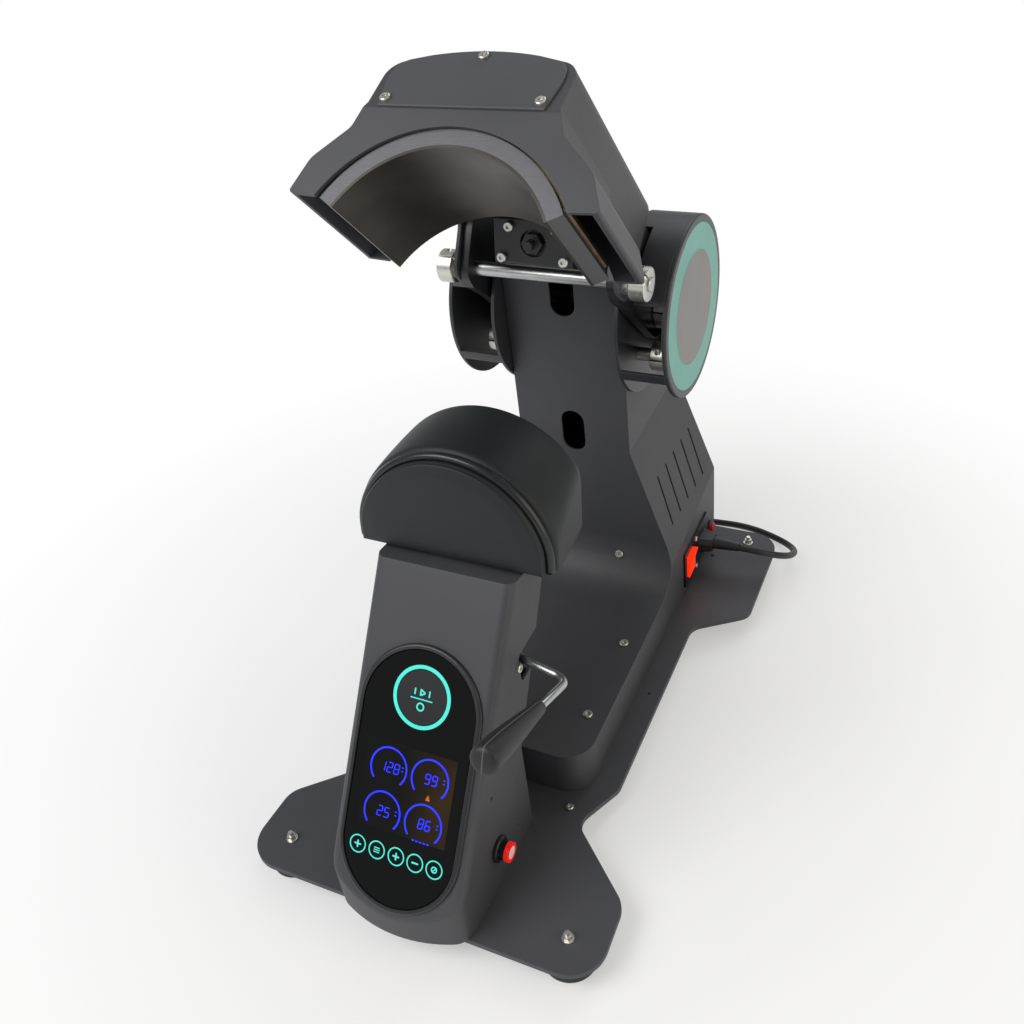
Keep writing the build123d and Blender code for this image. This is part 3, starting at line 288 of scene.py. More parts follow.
def display_window():
    """Display filter behind the glass, near black, with painted amber light that grows in patches towards
    the right.
    """
    material, shader, place = start("dark display filter with painted amber light", "0c0b09", roughness=0.12, ior=1.4)
    apart = add(material, "ShaderNodeSeparateXYZ", links={"Vector": place})
    # painted amber light: rises from the left of the window to its right and is broken into patches
    across = add(material, "ShaderNodeMapRange", {"From Min": -0.005, "From Max": 0.04},
                 {"Value": apart.outputs["X"]})
    cells = add(material, "ShaderNodeTexNoise", {"Scale": per_metre(30), "Detail": 1.0}, {"Vector": place})
    tint = add(material, "ShaderNodeMath", {"operation": "MULTIPLY"},
               {0: across.outputs["Result"], 1: cells.outputs["Fac"]})
    tone = add(material, "ShaderNodeMix", {"data_type": "RGBA", 6: linear("0a0a0a"), 7: linear("453213")},
               {0: tint.outputs["Value"]})
    join(material, tone.outputs[2], shader, "Base Color")
    return material


def lit_print(name, hex_code, glow):
    """Print on the glass with light behind it: even colour with a slight fall-off between lamps."""
    material, shader, place = start(name, hex_code, roughness=0.4, emission_strength=glow)
    shader.inputs["Emission Color"].default_value = linear(hex_code)
    lamps = add(material, "ShaderNodeTexNoise", {"Scale": per_metre(9), "Detail": 1.0}, {"Vector": place})
    dimmed = [c * 0.72 for c in linear(hex_code)[:3]] + [1.0]
    tone = add(material, "ShaderNodeMix", {"data_type": "RGBA", 6: dimmed, 7: linear(hex_code)},
               {0: lamps.outputs["Fac"]})
    join(material, tone.outputs[2], shader, "Emission Color")
    return material


def film(name, dark, light):
    """Self-coloured vinyl film on the drum covers: satin and very finely ribbed by its roller."""
    material, shader, place = start(name, dark, roughness=0.42)
    mottle(material, shader, place, 70, dark, light)
    grain = add(material, "ShaderNodeTexNoise", {"Scale": per_metre(0.8), "Detail": 2.0}, {"Vector": place})
    relief(material, shader, grain.outputs["Fac"], 0.03, 0.2)
    return material


def lit_red_plastic(name, hex_code, core, glow):
    """Translucent red polycarbonate with a neon behind it, its glow varying in soft patches."""
    material, shader, place = start(name, hex_code, roughness=0.22, ior=1.58, emission_strength=glow)
    clouds = add(material, "ShaderNodeTexNoise", {"Scale": per_metre(11), "Detail": 1.0}, {"Vector": place})
    tone = add(material, "ShaderNodeMix", {"data_type": "RGBA", 6: linear(hex_code), 7: linear(core)},
               {0: clouds.outputs["Fac"]})
    join(material, tone.outputs[2], shader, "Emission Color")
    return material


def circuit_board():
    """Green solder mask over copper tracks."""
    material, shader, place = start("solder mask", "14502a", roughness=0.35)
    tracks = add(material, "ShaderNodeTexBrick", {"Scale": per_metre(40), "Color1": linear("14502a"),
                                                  "Color2": linear("1b5d31"), "Mortar": linear("4f8a45")},
                 {"Vector": place})
    join(material, tracks.outputs["Color"], shader, "Base Color")
    return material


def mica_band():
    """Mica heater band in folded foil: warm brown, flaky."""
    material, shader, place = start("mica and foil", "7a6547", roughness=0.45, metallic=0.3)
    mottle(material, shader, place, 12, "6b563a", "9a8763")
    return material


def dress_nodes():
    """Give every node of the frame its finish."""
    # the fourth colour of each coat is the paler tone of its folds, partly from rubbing and partly a painted
    # highlight
    coat = powder_coat("textured powder coat", "3d3e42", "45464a", "6c6d70", 0.52)
    drum_coat = powder_coat("satin powder coat", "2b2c30", "333438", "5a5b5f", 0.40)
    # the frame's powder coat again, its colours painted lighter for the light that falls on the lid's tilted
    # face
    lid_coat_painted_lighter = powder_coat("lid powder coat painted lighter", "47484c", "4e4f53", "6f7073", 0.55)
    black = black_gloss_paint()
    zinc = bright_metal("bright zinc plate", "cdcdc9", 0.34, 3.0, "d8d6ce")
    satin = bright_metal("satin steel rod", "b4b6b7", 0.3, 2.2, "c4c5c4")
    turned = bright_metal("turned steel", "9fa0a2", 0.3, 0.8, "b5b4b0")
    tin = bright_metal("galvanised sheet", "a9adb0", 0.42, 6.0, "c3c6c8")
    cover = saddle_cover("skinned silicone foam", "16191c", "1c1f22")
    socket = moulded_plastic("moulded nylon", "17171a", 0.4)
    lead = moulded_plastic("soft PVC moulding", "1a1a1c", 0.42)
    finishes = (
        (coat, "base_plate console_shell front_skin side_panel_left side_panel_right rear_panel "
               "head_housing"),
        (lid_coat_painted_lighter, "head_cover"),
        (drum_coat, "drum_shell_left drum_shell_right drum_covers"),
        (film("teal vinyl film", "62a79b", "6fb3a7"), "drum_bands"),
        (film("grey vinyl film", "777373", "807c7c"), "drum_centres"),
        (zinc, "foot_bolts side_screws housing_screws head_screws saddle_bolts rod_collars stop_posts"),
        (satin, "lever_rod cross_rod"),
        (turned, "hinge_shaft tension_shaft tension_cam strut_rod hinge_bearings arm_hubs"),
        (black, "column_frame hinge_arms crank head_carrier pressure_screw tension_bearings "
                "strut_bracket"),
        (milled_aluminium(), "platen_block saddle_form strut_tube"),
        (mica_band(), "heater_bands"),
        (nonstick_sheet(), "platen_liner"),
        (cover, "saddle_pad saddle_end saddle_rim"),
        (rubber("vulcanised rubber", "1b1b1c"), "rubber_feet"),
        (moulded_plastic("satin ABS", "26272a", 0.33), "panel_bezel"),
        (panel_glass(), "touch_panel"),
        (grip_rubber(), "lever_grip"),
        (socket, "inlet_body button_body drive_motor"),
        (moulded_plastic("gloss black acetal", "101012", 0.2), "button_cap"),
        (lit_red_plastic("neon rocker lens", "f01a08", "ff3a14", 1.1), "rocker"),
        (moulded_plastic("red fuse cap", "b02a3c", 0.3), "fuse_cap"),
        (circuit_board(), "control_board"),
        (tin, "power_supply"),
        (lead, "mains_cord cord_coil mains_connector wall_plug"),
    )
    for material, names in finishes:
        for name in names.split():
            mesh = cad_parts[name].data
            mesh.materials.clear()
            mesh.materials.append(material)
    return cover, zinc, satin, coat


def finish_of(node):
    """The finish that a node carries, for the piece that replaces it."""
    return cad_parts[node].data.materials[0]


# ---- how pieces are put together -------------------------------------------

def settle(name, shape, material, body, smooth=False):
    """Turn a bmesh in millimetres into a finished piece that rides on a body."""
    bmesh.ops.recalc_face_normals(shape, faces=shape.faces)
    bmesh.ops.scale(shape, vec=(MM, MM, MM), verts=shape.verts)
    mesh = bpy.data.meshes.new(name)
    shape.to_mesh(mesh)
    shape.free()
    for face in mesh.polygons:
        face.use_smooth = smooth
    mesh.materials.append(material)
    piece = bpy.data.objects.new(name, mesh)
    bpy.context.scene.collection.objects.link(piece)
    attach(piece, body)
    return piece


def band(shape, centre, inner, outer, low, high, begin=0.0, sweep=360.0):
    """Flat ring or arc: its cross-section turned about the middle."""
    angle = math.radians(begin)
    reach = Vector((math.cos(angle), math.sin(angle), 0))
    middle = Vector((*centre, 0))
    corners = [shape.verts.new(middle + reach * r + Vector((0, 0, z)))
               for r, z in ((inner, low), (outer, low), (outer, high), (inner, high))]
    edges = [shape.edges.new((corners[i], corners[i - 1])) for i in range(4)]
    whole = sweep >= 360
    made = bmesh.ops.spin(shape, geom=corners + edges, cent=middle, axis=(0, 0, 1),
                          angle=math.radians(sweep), steps=max(6, round(sweep / 5)),
                          use_merge=whole)
    if not whole:
        last = [e for e in made["geom_last"] if isinstance(e, bmesh.types.BMEdge)]
        bmesh.ops.holes_fill(shape, edges=edges)
        bmesh.ops.holes_fill(shape, edges=last)


def bar(shape, centre, length, width, low, high, turn=0.0):
    """Short flat bar with its corners cut."""
    place = (Matrix.Translation((*centre, (low + high) / 2))
             @ Matrix.Rotation(math.radians(turn), 4, "Z")
             @ Matrix.Diagonal((length, width, high - low, 1)))
    made = bmesh.ops.create_cube(shape, size=1.0, matrix=place)
    upright = [e for e in {e for v in made["verts"] for e in v.link_edges}
               if abs(e.verts[0].co.z - e.verts[1].co.z) > (high - low) / 2]
    bmesh.ops.bevel(shape, geom=upright, offset=width * 0.42, offset_type="OFFSET", segments=2,
                    profile=0.5, affect="EDGES", material=-1)


# ---- touch panel --------------------------------------------------------------

SLOPE = math.radians(36.0)
# x across, y up the slope, z out of the glass
PANEL = (Matrix.Translation((0, -119.5, 272.5))
         @ Matrix(((1, 0, 0), (0, math.sin(SLOPE), -math.cos(SLOPE)),
                   (0, math.cos(SLOPE), math.sin(SLOPE)))).to_4x4())
GLASS, FILTER, PRINT = 2.0, 2.05, 2.16      # heights over the console's face
GAUGES = ((-18.0, -161.5, "128"), (18.0, -161.5, "99"), (-18.0, -196.3, "25"), (18.0, -196.3, "86"))
GAUGE_R, GAUGE_LINE = 16.2, 1.3
START_AT, START_R = (0.7, -101.8), 24.5
KEYS_X, KEYS_Y, KEY_R = (-34.6, -17.5, -0.4, 16.2, 32.8), -226.5, 7.2
# bars of a seven-segment digit: middle (in half widths and half heights) and turn
BARS = {"a": (0, 1, 0), "b": (1, 0.5, 90), "c": (1, -0.5, 90), "d": (0, -1, 0),
        "e": (-1, -0.5, 90), "f": (-1, 0.5, 90), "g": (0, 0, 0)}
DIGITS = {"1": "bc", "2": "abged", "5": "afgcd", "6": "afgecd", "8": "abcdefg", "9": "abcdfg"}
DIGIT_WIDE, DIGIT_TALL, DIGIT_STEP, DIGIT_LEAN = 3.9, 7.6, 6.0, 0.13
SEGMENT_WIDE, SEGMENT_GAP = 0.8, 0.3
WINDOW_Y, WINDOW_WIDE, WINDOW_TALL = -175.7, 77.0, 68.0


def on_panel(name, shape, material):
    bmesh.ops.transform(shape, matrix=PANEL, verts=shape.verts)
    return settle(name, shape, material, "stand")


def digits(shape, text, middle):
    """Leaning seven-segment digits centred on a point."""
    for place, figure in enumerate(text):
        x = middle[0] + (place - (len(text) - 1) / 2) * DIGIT_STEP
        for letter in DIGITS[figure]:
            across, up, turn = BARS[letter]
            y = up * DIGIT_TALL / 2
            long = DIGIT_TALL / 2 if turn else DIGIT_WIDE
            lean = 90 - math.degrees(math.atan(DIGIT_LEAN)) if turn else 0
            at = (x + across * DIGIT_WIDE / 2 + DIGIT_LEAN * y, middle[1] + y)
            bar(shape, at, long - SEGMENT_GAP, SEGMENT_WIDE, FILTER, PRINT, lean)


def touch_panel_print():
    """Display window, four gauges with plain numbers, start ring and five touch keys."""
    window = bmesh.new()
    place = (Matrix.Translation((0, WINDOW_Y, (GLASS + FILTER) / 2))
             @ Matrix.Diagonal((WINDOW_WIDE, WINDOW_TALL, FILTER - GLASS, 1)))
    bmesh.ops.create_cube(window, size=1.0, matrix=place)
    on_panel("display_window", window, display_window())

    figures = bmesh.new()
    for x, y, text in GAUGES:
        band(figures, (x, y), GAUGE_R - GAUGE_LINE, GAUGE_R, FILTER, PRINT, -42, 264)
        digits(figures, text, (x + 1.0, y + 0.5))
        bar(figures, (x + 12.0, y + 3.0), 1.7, 0.7, FILTER, PRINT, 0)
        bar(figures, (x + 12.0, y + 0.2), 1.7, 0.7, FILTER, PRINT, 0)
    for step in range(5):
        bar(figures, (11.5 + 3.2 * step, -196.3 - 13.4), 2.2, 1.1, FILTER, PRINT, 0)
    on_panel("gauge_figures", figures, lit_print("blue lit segments", "1c2bff", 1.0))

    heat = bmesh.new()
    for wide, up in ((3.6, 0), (2.6, 1.5), (1.2, 2.9)):
        bar(heat, (18.6, -176.6 + up), wide, 1.3, FILTER, PRINT, 0)
    on_panel("heating_mark", heat, lit_print("amber lit mark", "b0501c", 0.8))

    rings = bmesh.new()
    band(rings, START_AT, START_R - 2.9, START_R, GLASS, PRINT)
    x, y = START_AT
    bar(rings, (x, y - 1.6), 19.0, 0.9, GLASS, PRINT)
    band(rings, (x, y - 7.4), 2.2, 3.4, GLASS, PRINT)
    for side in (-1, 1):
        bar(rings, (x + side * 6.2, y + 3.6), 5.2, 1.2, GLASS, PRINT, 90)
    bar(rings, (x - 1.3, y + 3.6), 5.4, 1.2, GLASS, PRINT, 90)
    bar(rings, (x + 0.7, y + 4.7), 4.6, 1.2, GLASS, PRINT, -30)
    bar(rings, (x + 0.7, y + 2.5), 4.6, 1.2, GLASS, PRINT, 30)
    for key, middle in enumerate(KEYS_X):
        band(rings, (middle, KEYS_Y), KEY_R - 1.0, KEY_R, GLASS, PRINT)
        if key == 1:
            for up in (-1.7, 0, 1.7):
                bar(rings, (middle, KEYS_Y + up), 5.2, 0.8, GLASS, PRINT)
        if key in (0, 2, 3):
            bar(rings, (middle, KEYS_Y), 6.0, 1.3, GLASS, PRINT)
        if key in (0, 2):
            bar(rings, (middle, KEYS_Y), 6.0, 1.3, GLASS, PRINT, 90)
        if key == 4:
            band(rings, (middle, KEYS_Y), 1.6, 2.6, GLASS, PRINT)
            bar(rings, (middle + 0.2, KEYS_Y), 5.6, 0.9, GLASS, PRINT, 45)
    on_panel("start_ring_and_keys", rings, lit_print("teal lit print", "3fc9bb", 0.75))

    disc = bmesh.new()
    bmesh.ops.create_circle(disc, cap_ends=True, radius=START_R - 3.4, segments=72,
                            matrix=Matrix.Translation((*START_AT, GLASS + 0.01)))
    bmesh.ops.solidify(disc, geom=disc.faces[:], thickness=-0.03)
    on_panel("start_button_face", disc, moulded_plastic("matt print under glass", "222427", 0.3))


# z out of the push button's face
BUTTON_FACE = Matrix.Translation((70.35, -204.0, 63.0)) @ Matrix.Rotation(math.pi / 2, 4, "Y")
FACE_DISC_R, FACE_DISC_PROUD = 5.2, 0.55
RING_INNER, RING_OUTER, RING_LOW, RING_HIGH = 5.3, 8.1, -3.4, 0.45


def push_button_face():
    """Red lens ring round the push button's end and the pale disc set in it, its glow a painted highlight.
    """
    shape = bmesh.new()
    bmesh.ops.create_circle(shape, cap_ends=True, radius=FACE_DISC_R, segments=48, matrix=BUTTON_FACE)
    made = bmesh.ops.extrude_face_region(shape, geom=shape.faces[:])
    moved = [v for v in made["geom"] if isinstance(v, bmesh.types.BMVert)]
    bmesh.ops.translate(shape, vec=(FACE_DISC_PROUD, 0, 0), verts=moved)
    rim = [e for e in shape.edges if all(v in moved for v in e.verts) and len(e.link_faces) == 2]
    bmesh.ops.bevel(shape, geom=rim, offset=0.25, offset_type="OFFSET", segments=2, profile=0.5,
                    affect="EDGES", material=-1)
    ring = bmesh.new()
    band(ring, (0, 0), RING_INNER, RING_OUTER, RING_LOW, RING_HIGH)
    bmesh.ops.transform(ring, verts=ring.verts, matrix=BUTTON_FACE)
    settle("button_ring", ring, lit_red_plastic("red lens", "d01410", "ff2a18", 0.5),
           "push_button")
    # the pale pink glow of this disc is a painted highlight on the button's face
    settle("button_face_painted_highlight", shape, lit_print("pale face with painted highlight", "d8b8b0", 0.35),
           "push_button", smooth=True)


DRUM_FACE_X, DRUM_Y, DRUM_Z = 101.0, 188.0, 342.0
DRUM_LINE_INNER, DRUM_LINE_OUTER, DRUM_LINE_THICK = 50.5, 51.2, 0.22


def drum_lines():
    """Fine pale line between the teal band and the grey middle of each drum cover."""
    line = film("pale teal line", "74b5ac", "7fc0b7")
    for side, face in ((1, "right"), (-1, "left")):
        shape = bmesh.new()
        band(shape, (0, 0), DRUM_LINE_INNER, DRUM_LINE_OUTER, 0.0, DRUM_LINE_THICK)
        turned = (Matrix.Translation((side * DRUM_FACE_X, DRUM_Y, DRUM_Z))
                  @ Matrix.Rotation(side * math.pi / 2, 4, "Y"))
        bmesh.ops.transform(shape, matrix=turned, verts=shape.verts)
        settle("drum_line_" + face, shape, line, "stand")


# ---- padded saddle --------------------------------------------------------------

# x across, y from the end panel to the rear, z up from the saddle's base line
SADDLE = Matrix.Translation((0, -99.5, 266.0)) @ Matrix.Rotation(math.radians(-7.0), 4, "X")
ARCH_Z = 3.6        # height of every arch's centre
ARCH_POINTS, SIDE_POINTS, OVER_POINTS = 96, 30, 120
# radius and half width of each arch
FRONT_ARCH, REAR_ARCH, END_ARCH = (86.3, 84.7), (92.0, 77.0), (79.5, 77.5)
PAD_LONG, PAD_STEPS, PAD_THICK, PAD_ROUND, CROWN = 69.0, 8, 9.0, 4.5, 1.0
FORM_THICK, FORM_SHORT, FORM_ROUND = 7.0, 2.0, 1.5
# stations of the rim: distance along, radius, half width and easing
RIM_STATIONS, RIM_THICK, RIM_ROUND = ((-5.0, 83.6, 82.0, 8), (-0.3, 85.6, 84.0, 8)), 5.0, 1.8
END_EASING = 8
PANEL_MIDDLE_Z = 36.0
# the end panel from its seam to its middle: each row's share of the one before, and its step forward
STUFFING = ((1.0, -8.6), (0.992, -1.1), (0.984, -0.9), (0.97, -0.7), (0.94, -0.5), (0.86, -0.7),
            (0.7, -0.5), (0.5, -0.2))


def arch_line(radius, half, easing):
    """Evenly spaced points of an arch with straight sides, its corners eased."""
    turn = math.acos(half / radius)
    top = ARCH_Z + math.sqrt(radius ** 2 - half ** 2)
    side = [Vector((half, ARCH_Z + (top - ARCH_Z) * i / SIDE_POINTS)) for i in range(SIDE_POINTS)]
    over = [Vector((radius * math.cos(a), ARCH_Z + radius * math.sin(a)))
            for a in (turn + (math.pi - 2 * turn) * i / OVER_POINTS for i in range(OVER_POINTS + 1))]
    line = side + over + [Vector((-p.x, p.y)) for p in reversed(side)]
    walked = [0.0]
    for before, after in zip(line, line[1:]):
        walked.append(walked[-1] + (after - before).length)
    even, at = [], 0
    for i in range(ARCH_POINTS + 1):
        target = walked[-1] * i / ARCH_POINTS
        while at < len(line) - 2 and walked[at + 1] < target:
            at += 1
        part = (target - walked[at]) / (walked[at + 1] - walked[at])
        even.append(line[at].lerp(line[at + 1], part))
    for _ in range(easing):
        eased = [(a + 2 * b + c) / 4 for a, b, c in zip(even, even[1:], even[2:])]
        even = [even[0]] + eased + [even[-1]]
    return even


def run(shape, station, line):
    """One open row of edges along an arch; returns its edges."""
    row = [shape.verts.new((p.x, station, p.y)) for p in line]
    return [shape.edges.new(pair) for pair in zip(row, row[1:])]


def round_edges(shape, edges, reach):
    """Round edges over in four steps."""
    bmesh.ops.bevel(shape, geom=edges, offset=reach, offset_type="OFFSET", segments=4, profile=0.5,
                    affect="EDGES", material=-1)


def arched_shell(stations, thickness, rounding):
    """Arched shell from its outer sections (station, radius, half width, easing)."""
    shape = bmesh.new()
    outer, inner = ([run(shape, y, arch_line(r - inset, half - inset, easing))
                     for y, r, half, easing in stations] for inset in (0, thickness))
    rows = outer + inner[::-1]
    for here, after in zip(rows, rows[1:] + rows[:1]):
        bmesh.ops.bridge_loops(shape, edges=here + after)
    bmesh.ops.holes_fill(shape, edges=[e for e in shape.edges if e.is_boundary])
    bmesh.ops.recalc_face_normals(shape, faces=shape.faces)
    round_edges(shape, outer[0] + outer[-1], rounding)
    bmesh.ops.transform(shape, matrix=SADDLE, verts=shape.verts)
    return shape


def pad_stations(inset, long):
    """Sections from the full-width front to the taller, narrower rear, slightly crowned between."""
    stations = []
    for i in range(PAD_STEPS + 1):
        along = i / PAD_STEPS
        crown = CROWN * math.sin(math.pi * along) ** 0.7
        radius = FRONT_ARCH[0] + (REAR_ARCH[0] - FRONT_ARCH[0]) * along + crown - inset
        half = FRONT_ARCH[1] + (REAR_ARCH[1] - FRONT_ARCH[1]) * along + crown / 2 - inset
        stations.append((long * along, radius, half, 4 + round(6 * along)))
    return stations


def padded_saddle(cover):
    """Foam pad over its cast form, its stuffed end panel and the glossy rim between them."""
    pad = settle("saddle_cushion", arched_shell(pad_stations(0, PAD_LONG), PAD_THICK, PAD_ROUND),
                 cover, "stand", smooth=True)
    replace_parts(pad, "saddle_pad")
    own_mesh(pad)

    casting = arched_shell(pad_stations(PAD_THICK, PAD_LONG - FORM_SHORT), FORM_THICK, FORM_ROUND)
    form = settle("saddle_casting", casting, finish_of("saddle_form"), "stand",
                  smooth=True)
    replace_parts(form, "saddle_form")

    panel = bmesh.new()
    foot = run(panel, 0.0, arch_line(*END_ARCH, END_EASING))
    foot.append(panel.edges.new([v for v in panel.verts if len(v.link_edges) == 1]))
    bmesh.ops.contextual_create(panel, geom=foot)
    front = panel.faces[:]
    for size, deep in STUFFING:
        pushed = bmesh.ops.extrude_face_region(panel, geom=front)["geom"]
        front = [f for f in pushed if isinstance(f, bmesh.types.BMFace)]
        moved = [v for v in pushed if isinstance(v, bmesh.types.BMVert)]
        bmesh.ops.scale(panel, vec=(size, 1, size), verts=moved,
                        space=Matrix.Translation((0, 0, -PANEL_MIDDLE_Z)))
        bmesh.ops.translate(panel, vec=(0, deep, 0), verts=moved)
    bmesh.ops.transform(panel, matrix=SADDLE, verts=panel.verts)
    end = settle("saddle_end_cushion", panel, cover, "stand", smooth=True)
    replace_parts(end, "saddle_end")

    welt = moulded_plastic("glossy silicone welt", "1d2023", 0.25)
    rim = settle("saddle_end_rim", arched_shell(RIM_STATIONS, RIM_THICK, RIM_ROUND), welt,
                 "stand", smooth=True)
    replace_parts(rim, "saddle_rim")


# ---- screws, feet and lever -------------------------------------------------------

# middles of the screws that stay bright
KEPT_SCREWS = ((57, -132, 194), (-57, -132, 194), (97, 196, 73), (97, 196, 37),
               (78, 33, 67), (-78, 33, 67), (78, -59, 67), (-78, -59, 67),
               (40, 130, 93), (-40, 130, 93), (84, -124, 24), (-84, -124, 24))
SCREW_NEAR = 8.0        # how far a screw may lie from its listed middle
PLATE_SCREWS_UNDER = 30.0
SCREW_HEAD = 2.35       # how far a plug is sunk, so that its head is flush
BOLT_SHARE = 0.7        # the slim bolt's width as a share of its node's


def islands(shape):
    """The separate solids of a mesh, each as its own list of vertices."""
    loose, found = set(shape.verts), []
    while loose:
        reached, island = [loose.pop()], []
        while reached:
            vertex = reached.pop()
            island.append(vertex)
            near = {e.other_vert(vertex) for e in vertex.link_edges} & loose
            loose -= near
            reached.extend(near)
        found.append(island)
    return found


def node_copy(node):
    """A node's mesh in millimetres, its loose triangles merged."""
    shape = bmesh.new()
    shape.from_mesh(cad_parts[node].data)
    bmesh.ops.remove_doubles(shape, verts=shape.verts, dist=0.001 * MM)
    bmesh.ops.scale(shape, vec=(1 / MM, 1 / MM, 1 / MM), verts=shape.verts)
    return shape


def screw_set(node, name, zinc, coat):
    """Screws that stay bright, and coated plugs that fill the housing's other holes flush."""
    for kept, material, slot, suffix in ((True, zinc, "zinc_steel", "_bright"),
                                         (False, coat, "powder_coat", "_plugs")):
        shape = node_copy(node)
        for island in islands(shape):
            corners = [Vector([pick(v.co[i] for v in island) for i in range(3)]) for pick in (min, max)]
            middle = (corners[0] + corners[1]) / 2
            stays = any((middle - Vector(place)).length < SCREW_NEAR for place in KEPT_SCREWS)
            if stays != kept:
                bmesh.ops.delete(shape, geom=island, context="VERTS")
            elif not kept:
                inwards = (math.copysign(SCREW_HEAD, -middle.x), 0, 0)
                sunk = (0, 0, -SCREW_HEAD) if middle.z < PLATE_SCREWS_UNDER else inwards
                bmesh.ops.translate(shape, vec=sunk, verts=island)
        piece = settle(name + suffix, shape, material, "stand")
        if kept:
            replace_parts(piece, node)


def slim_foot_bolts(zinc):
    """The plate's foot bolts, with heads of the smaller pattern."""
    shape = node_copy("foot_bolts")
    for island in islands(shape):
        middle = sum((v.co for v in island), Vector()) / len(island)
        bmesh.ops.scale(shape, vec=(BOLT_SHARE, BOLT_SHARE, 1), verts=island,
                        space=Matrix.Translation((-middle.x, -middle.y, 0)))
    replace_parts(settle("slim_foot_bolts", shape, zinc, "stand"), "foot_bolts")


FEET = ((128.0, -235.0), (-128.0, -235.0), (136.0, 262.0), (-136.0, 262.0))
# radius and height
FOOT_PROFILE = ((5.4, 0.0), (20.6, 0.0), (22.2, 1.0), (22.9, 6.0), (23.4, 14.0), (23.4, 18.2),
                (22.0, 20.0), (5.4, 20.0))


def rubber_feet():
    """Four moulded feet, slightly wider at the top, round the plate's bolts."""
    shape = bmesh.new()
    for x, y in FEET:
        middle = Vector((x, y, 0))
        corners = [shape.verts.new(middle + Vector((r, 0, z))) for r, z in FOOT_PROFILE]
        ring = [shape.edges.new((corners[i], corners[i - 1])) for i in range(len(corners))]
        bmesh.ops.spin(shape, geom=corners + ring, cent=middle, axis=(0, 0, 1), angle=2 * math.pi,
                       steps=64, use_merge=True)
    feet = settle("moulded_feet", shape, finish_of("rubber_feet"), "stand", smooth=True)
    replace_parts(feet, "rubber_feet")


LEVER_ROOT, LEVER_BEND = Vector((44.0, -119.0, 194.0)), Vector((LEVER_X, -126.0, 188.0))
LEVER_TIP = Vector((LEVER_X, -258.0, 246.0))
LEVER_BEND_R, LEVER_ROD_R, IN_GRIP = 13.0, 3.2, 8.0     # the rod ends short of the grip's tip
# distance from the tip and radius
GRIP_PROFILE = ((0.0, 0.0), (0.0, 6.5), (0.8, 8.8), (2.6, 10.2), (6.0, 10.7), (24.0, 10.4), (50.0, 8.6),
                (76.0, 6.4), (89.0, 5.4), (91.5, 4.6), (92.0, 3.3), (92.0, 0.0))


def pushed_on(shape, end, vec):
    """Carry the end faces of a bar on by a straight run; returns the new end faces."""
    moved = bmesh.ops.extrude_face_region(shape, geom=end)["geom"]
    bmesh.ops.delete(shape, geom=end, context="FACES_ONLY")
    bmesh.ops.translate(shape, vec=vec, verts=[v for v in moved if isinstance(v, bmesh.types.BMVert)])
    return [f for f in moved if isinstance(f, bmesh.types.BMFace)]


def clamp_lever(satin):
    """Bent rod and tapered grip of the lever that draws the saddle down."""
    into, out = (LEVER_BEND - LEVER_ROOT).normalized(), (LEVER_TIP - LEVER_BEND).normalized()
    half = into.angle(out) / 2
    reach = LEVER_BEND_R * math.tan(half)
    first, last = LEVER_BEND - into * reach, LEVER_BEND + out * reach
    centre = LEVER_BEND + (out - into).normalized() * (LEVER_BEND_R / math.cos(half))
    axis = into.cross(out).normalized()
    shape = bmesh.new()
    turned = into.to_track_quat("Z", "Y").to_matrix().to_4x4()
    bmesh.ops.create_circle(shape, cap_ends=True, radius=LEVER_ROD_R, segments=24,
                            matrix=Matrix.Translation(LEVER_ROOT) @ turned)
    end = pushed_on(shape, shape.faces[:], first - LEVER_ROOT)
    moved = bmesh.ops.spin(shape, geom=end, cent=centre, axis=axis, angle=2 * half,
                           steps=14)["geom_last"]
    bmesh.ops.delete(shape, geom=end, context="FACES_ONLY")
    pushed_on(shape, [f for f in moved if isinstance(f, bmesh.types.BMFace)],
              LEVER_TIP - out * IN_GRIP - last)
    rod = settle("clamp_lever_rod", shape, satin, "tension_lever", smooth=True)
    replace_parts(rod, "lever_rod")

    sleeve = bmesh.new()
    side = out.orthogonal().normalized()
    line = [sleeve.verts.new(LEVER_TIP - out * back + side * r) for back, r in GRIP_PROFILE]
    edges = [sleeve.edges.new(pair) for pair in zip(line, line[1:])]
    bmesh.ops.spin(sleeve, geom=line + edges, cent=LEVER_TIP, axis=out, angle=2 * math.pi, steps=48,
                   use_merge=True)
    bmesh.ops.remove_doubles(sleeve, verts=sleeve.verts, dist=0.001)
    grip = settle("clamp_lever_grip", sleeve, finish_of("lever_grip"), "tension_lever",
                  smooth=True)
    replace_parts(grip, "lever_grip")


# ---- cord ---------------------------------------------------------------

CORD_RADIUS, CORD_LENGTH = 0.0035, 1.62      # metres
CORD_ROUTE = [
    (138, 217, 55), (156, 217.5, 54), (176, 227, 45), (186, 250, 29), (184, 279, 13),
    (163, 303, 3.5), (123, 316, 3.5), (78, 313, 3.5), (36, 307, 3.5), (-4, 306.5, 3.5),
]
COIL_AT = Vector((-25, 352, 0))
TURN_RADII = (45.5, 38.5, 31.5, 31.5, 38.5, 45.5, 45.5)
TURNS, TURNS_ON_FLOOR, POINTS_PER_TURN = 5.5, 2.5, 14
LOW_LAYER, HIGH_LAYER = 3.5, 10.5
PLUG_AT = (-4.0, 397.5, 8.6)
# length, width, height, distance from the cord's end and rounding
PLUG_BLOCKS = ((14, 11, 11, 4, 4.5), (26, 24, 16, 20, 5.0), (17, 1.6, 6.4, 41, 0.5))
TO_PLUG = [(-18, 397.4, 10.0), (-11, 397.5, 9.2), (-5, 397.5, 8.8)]


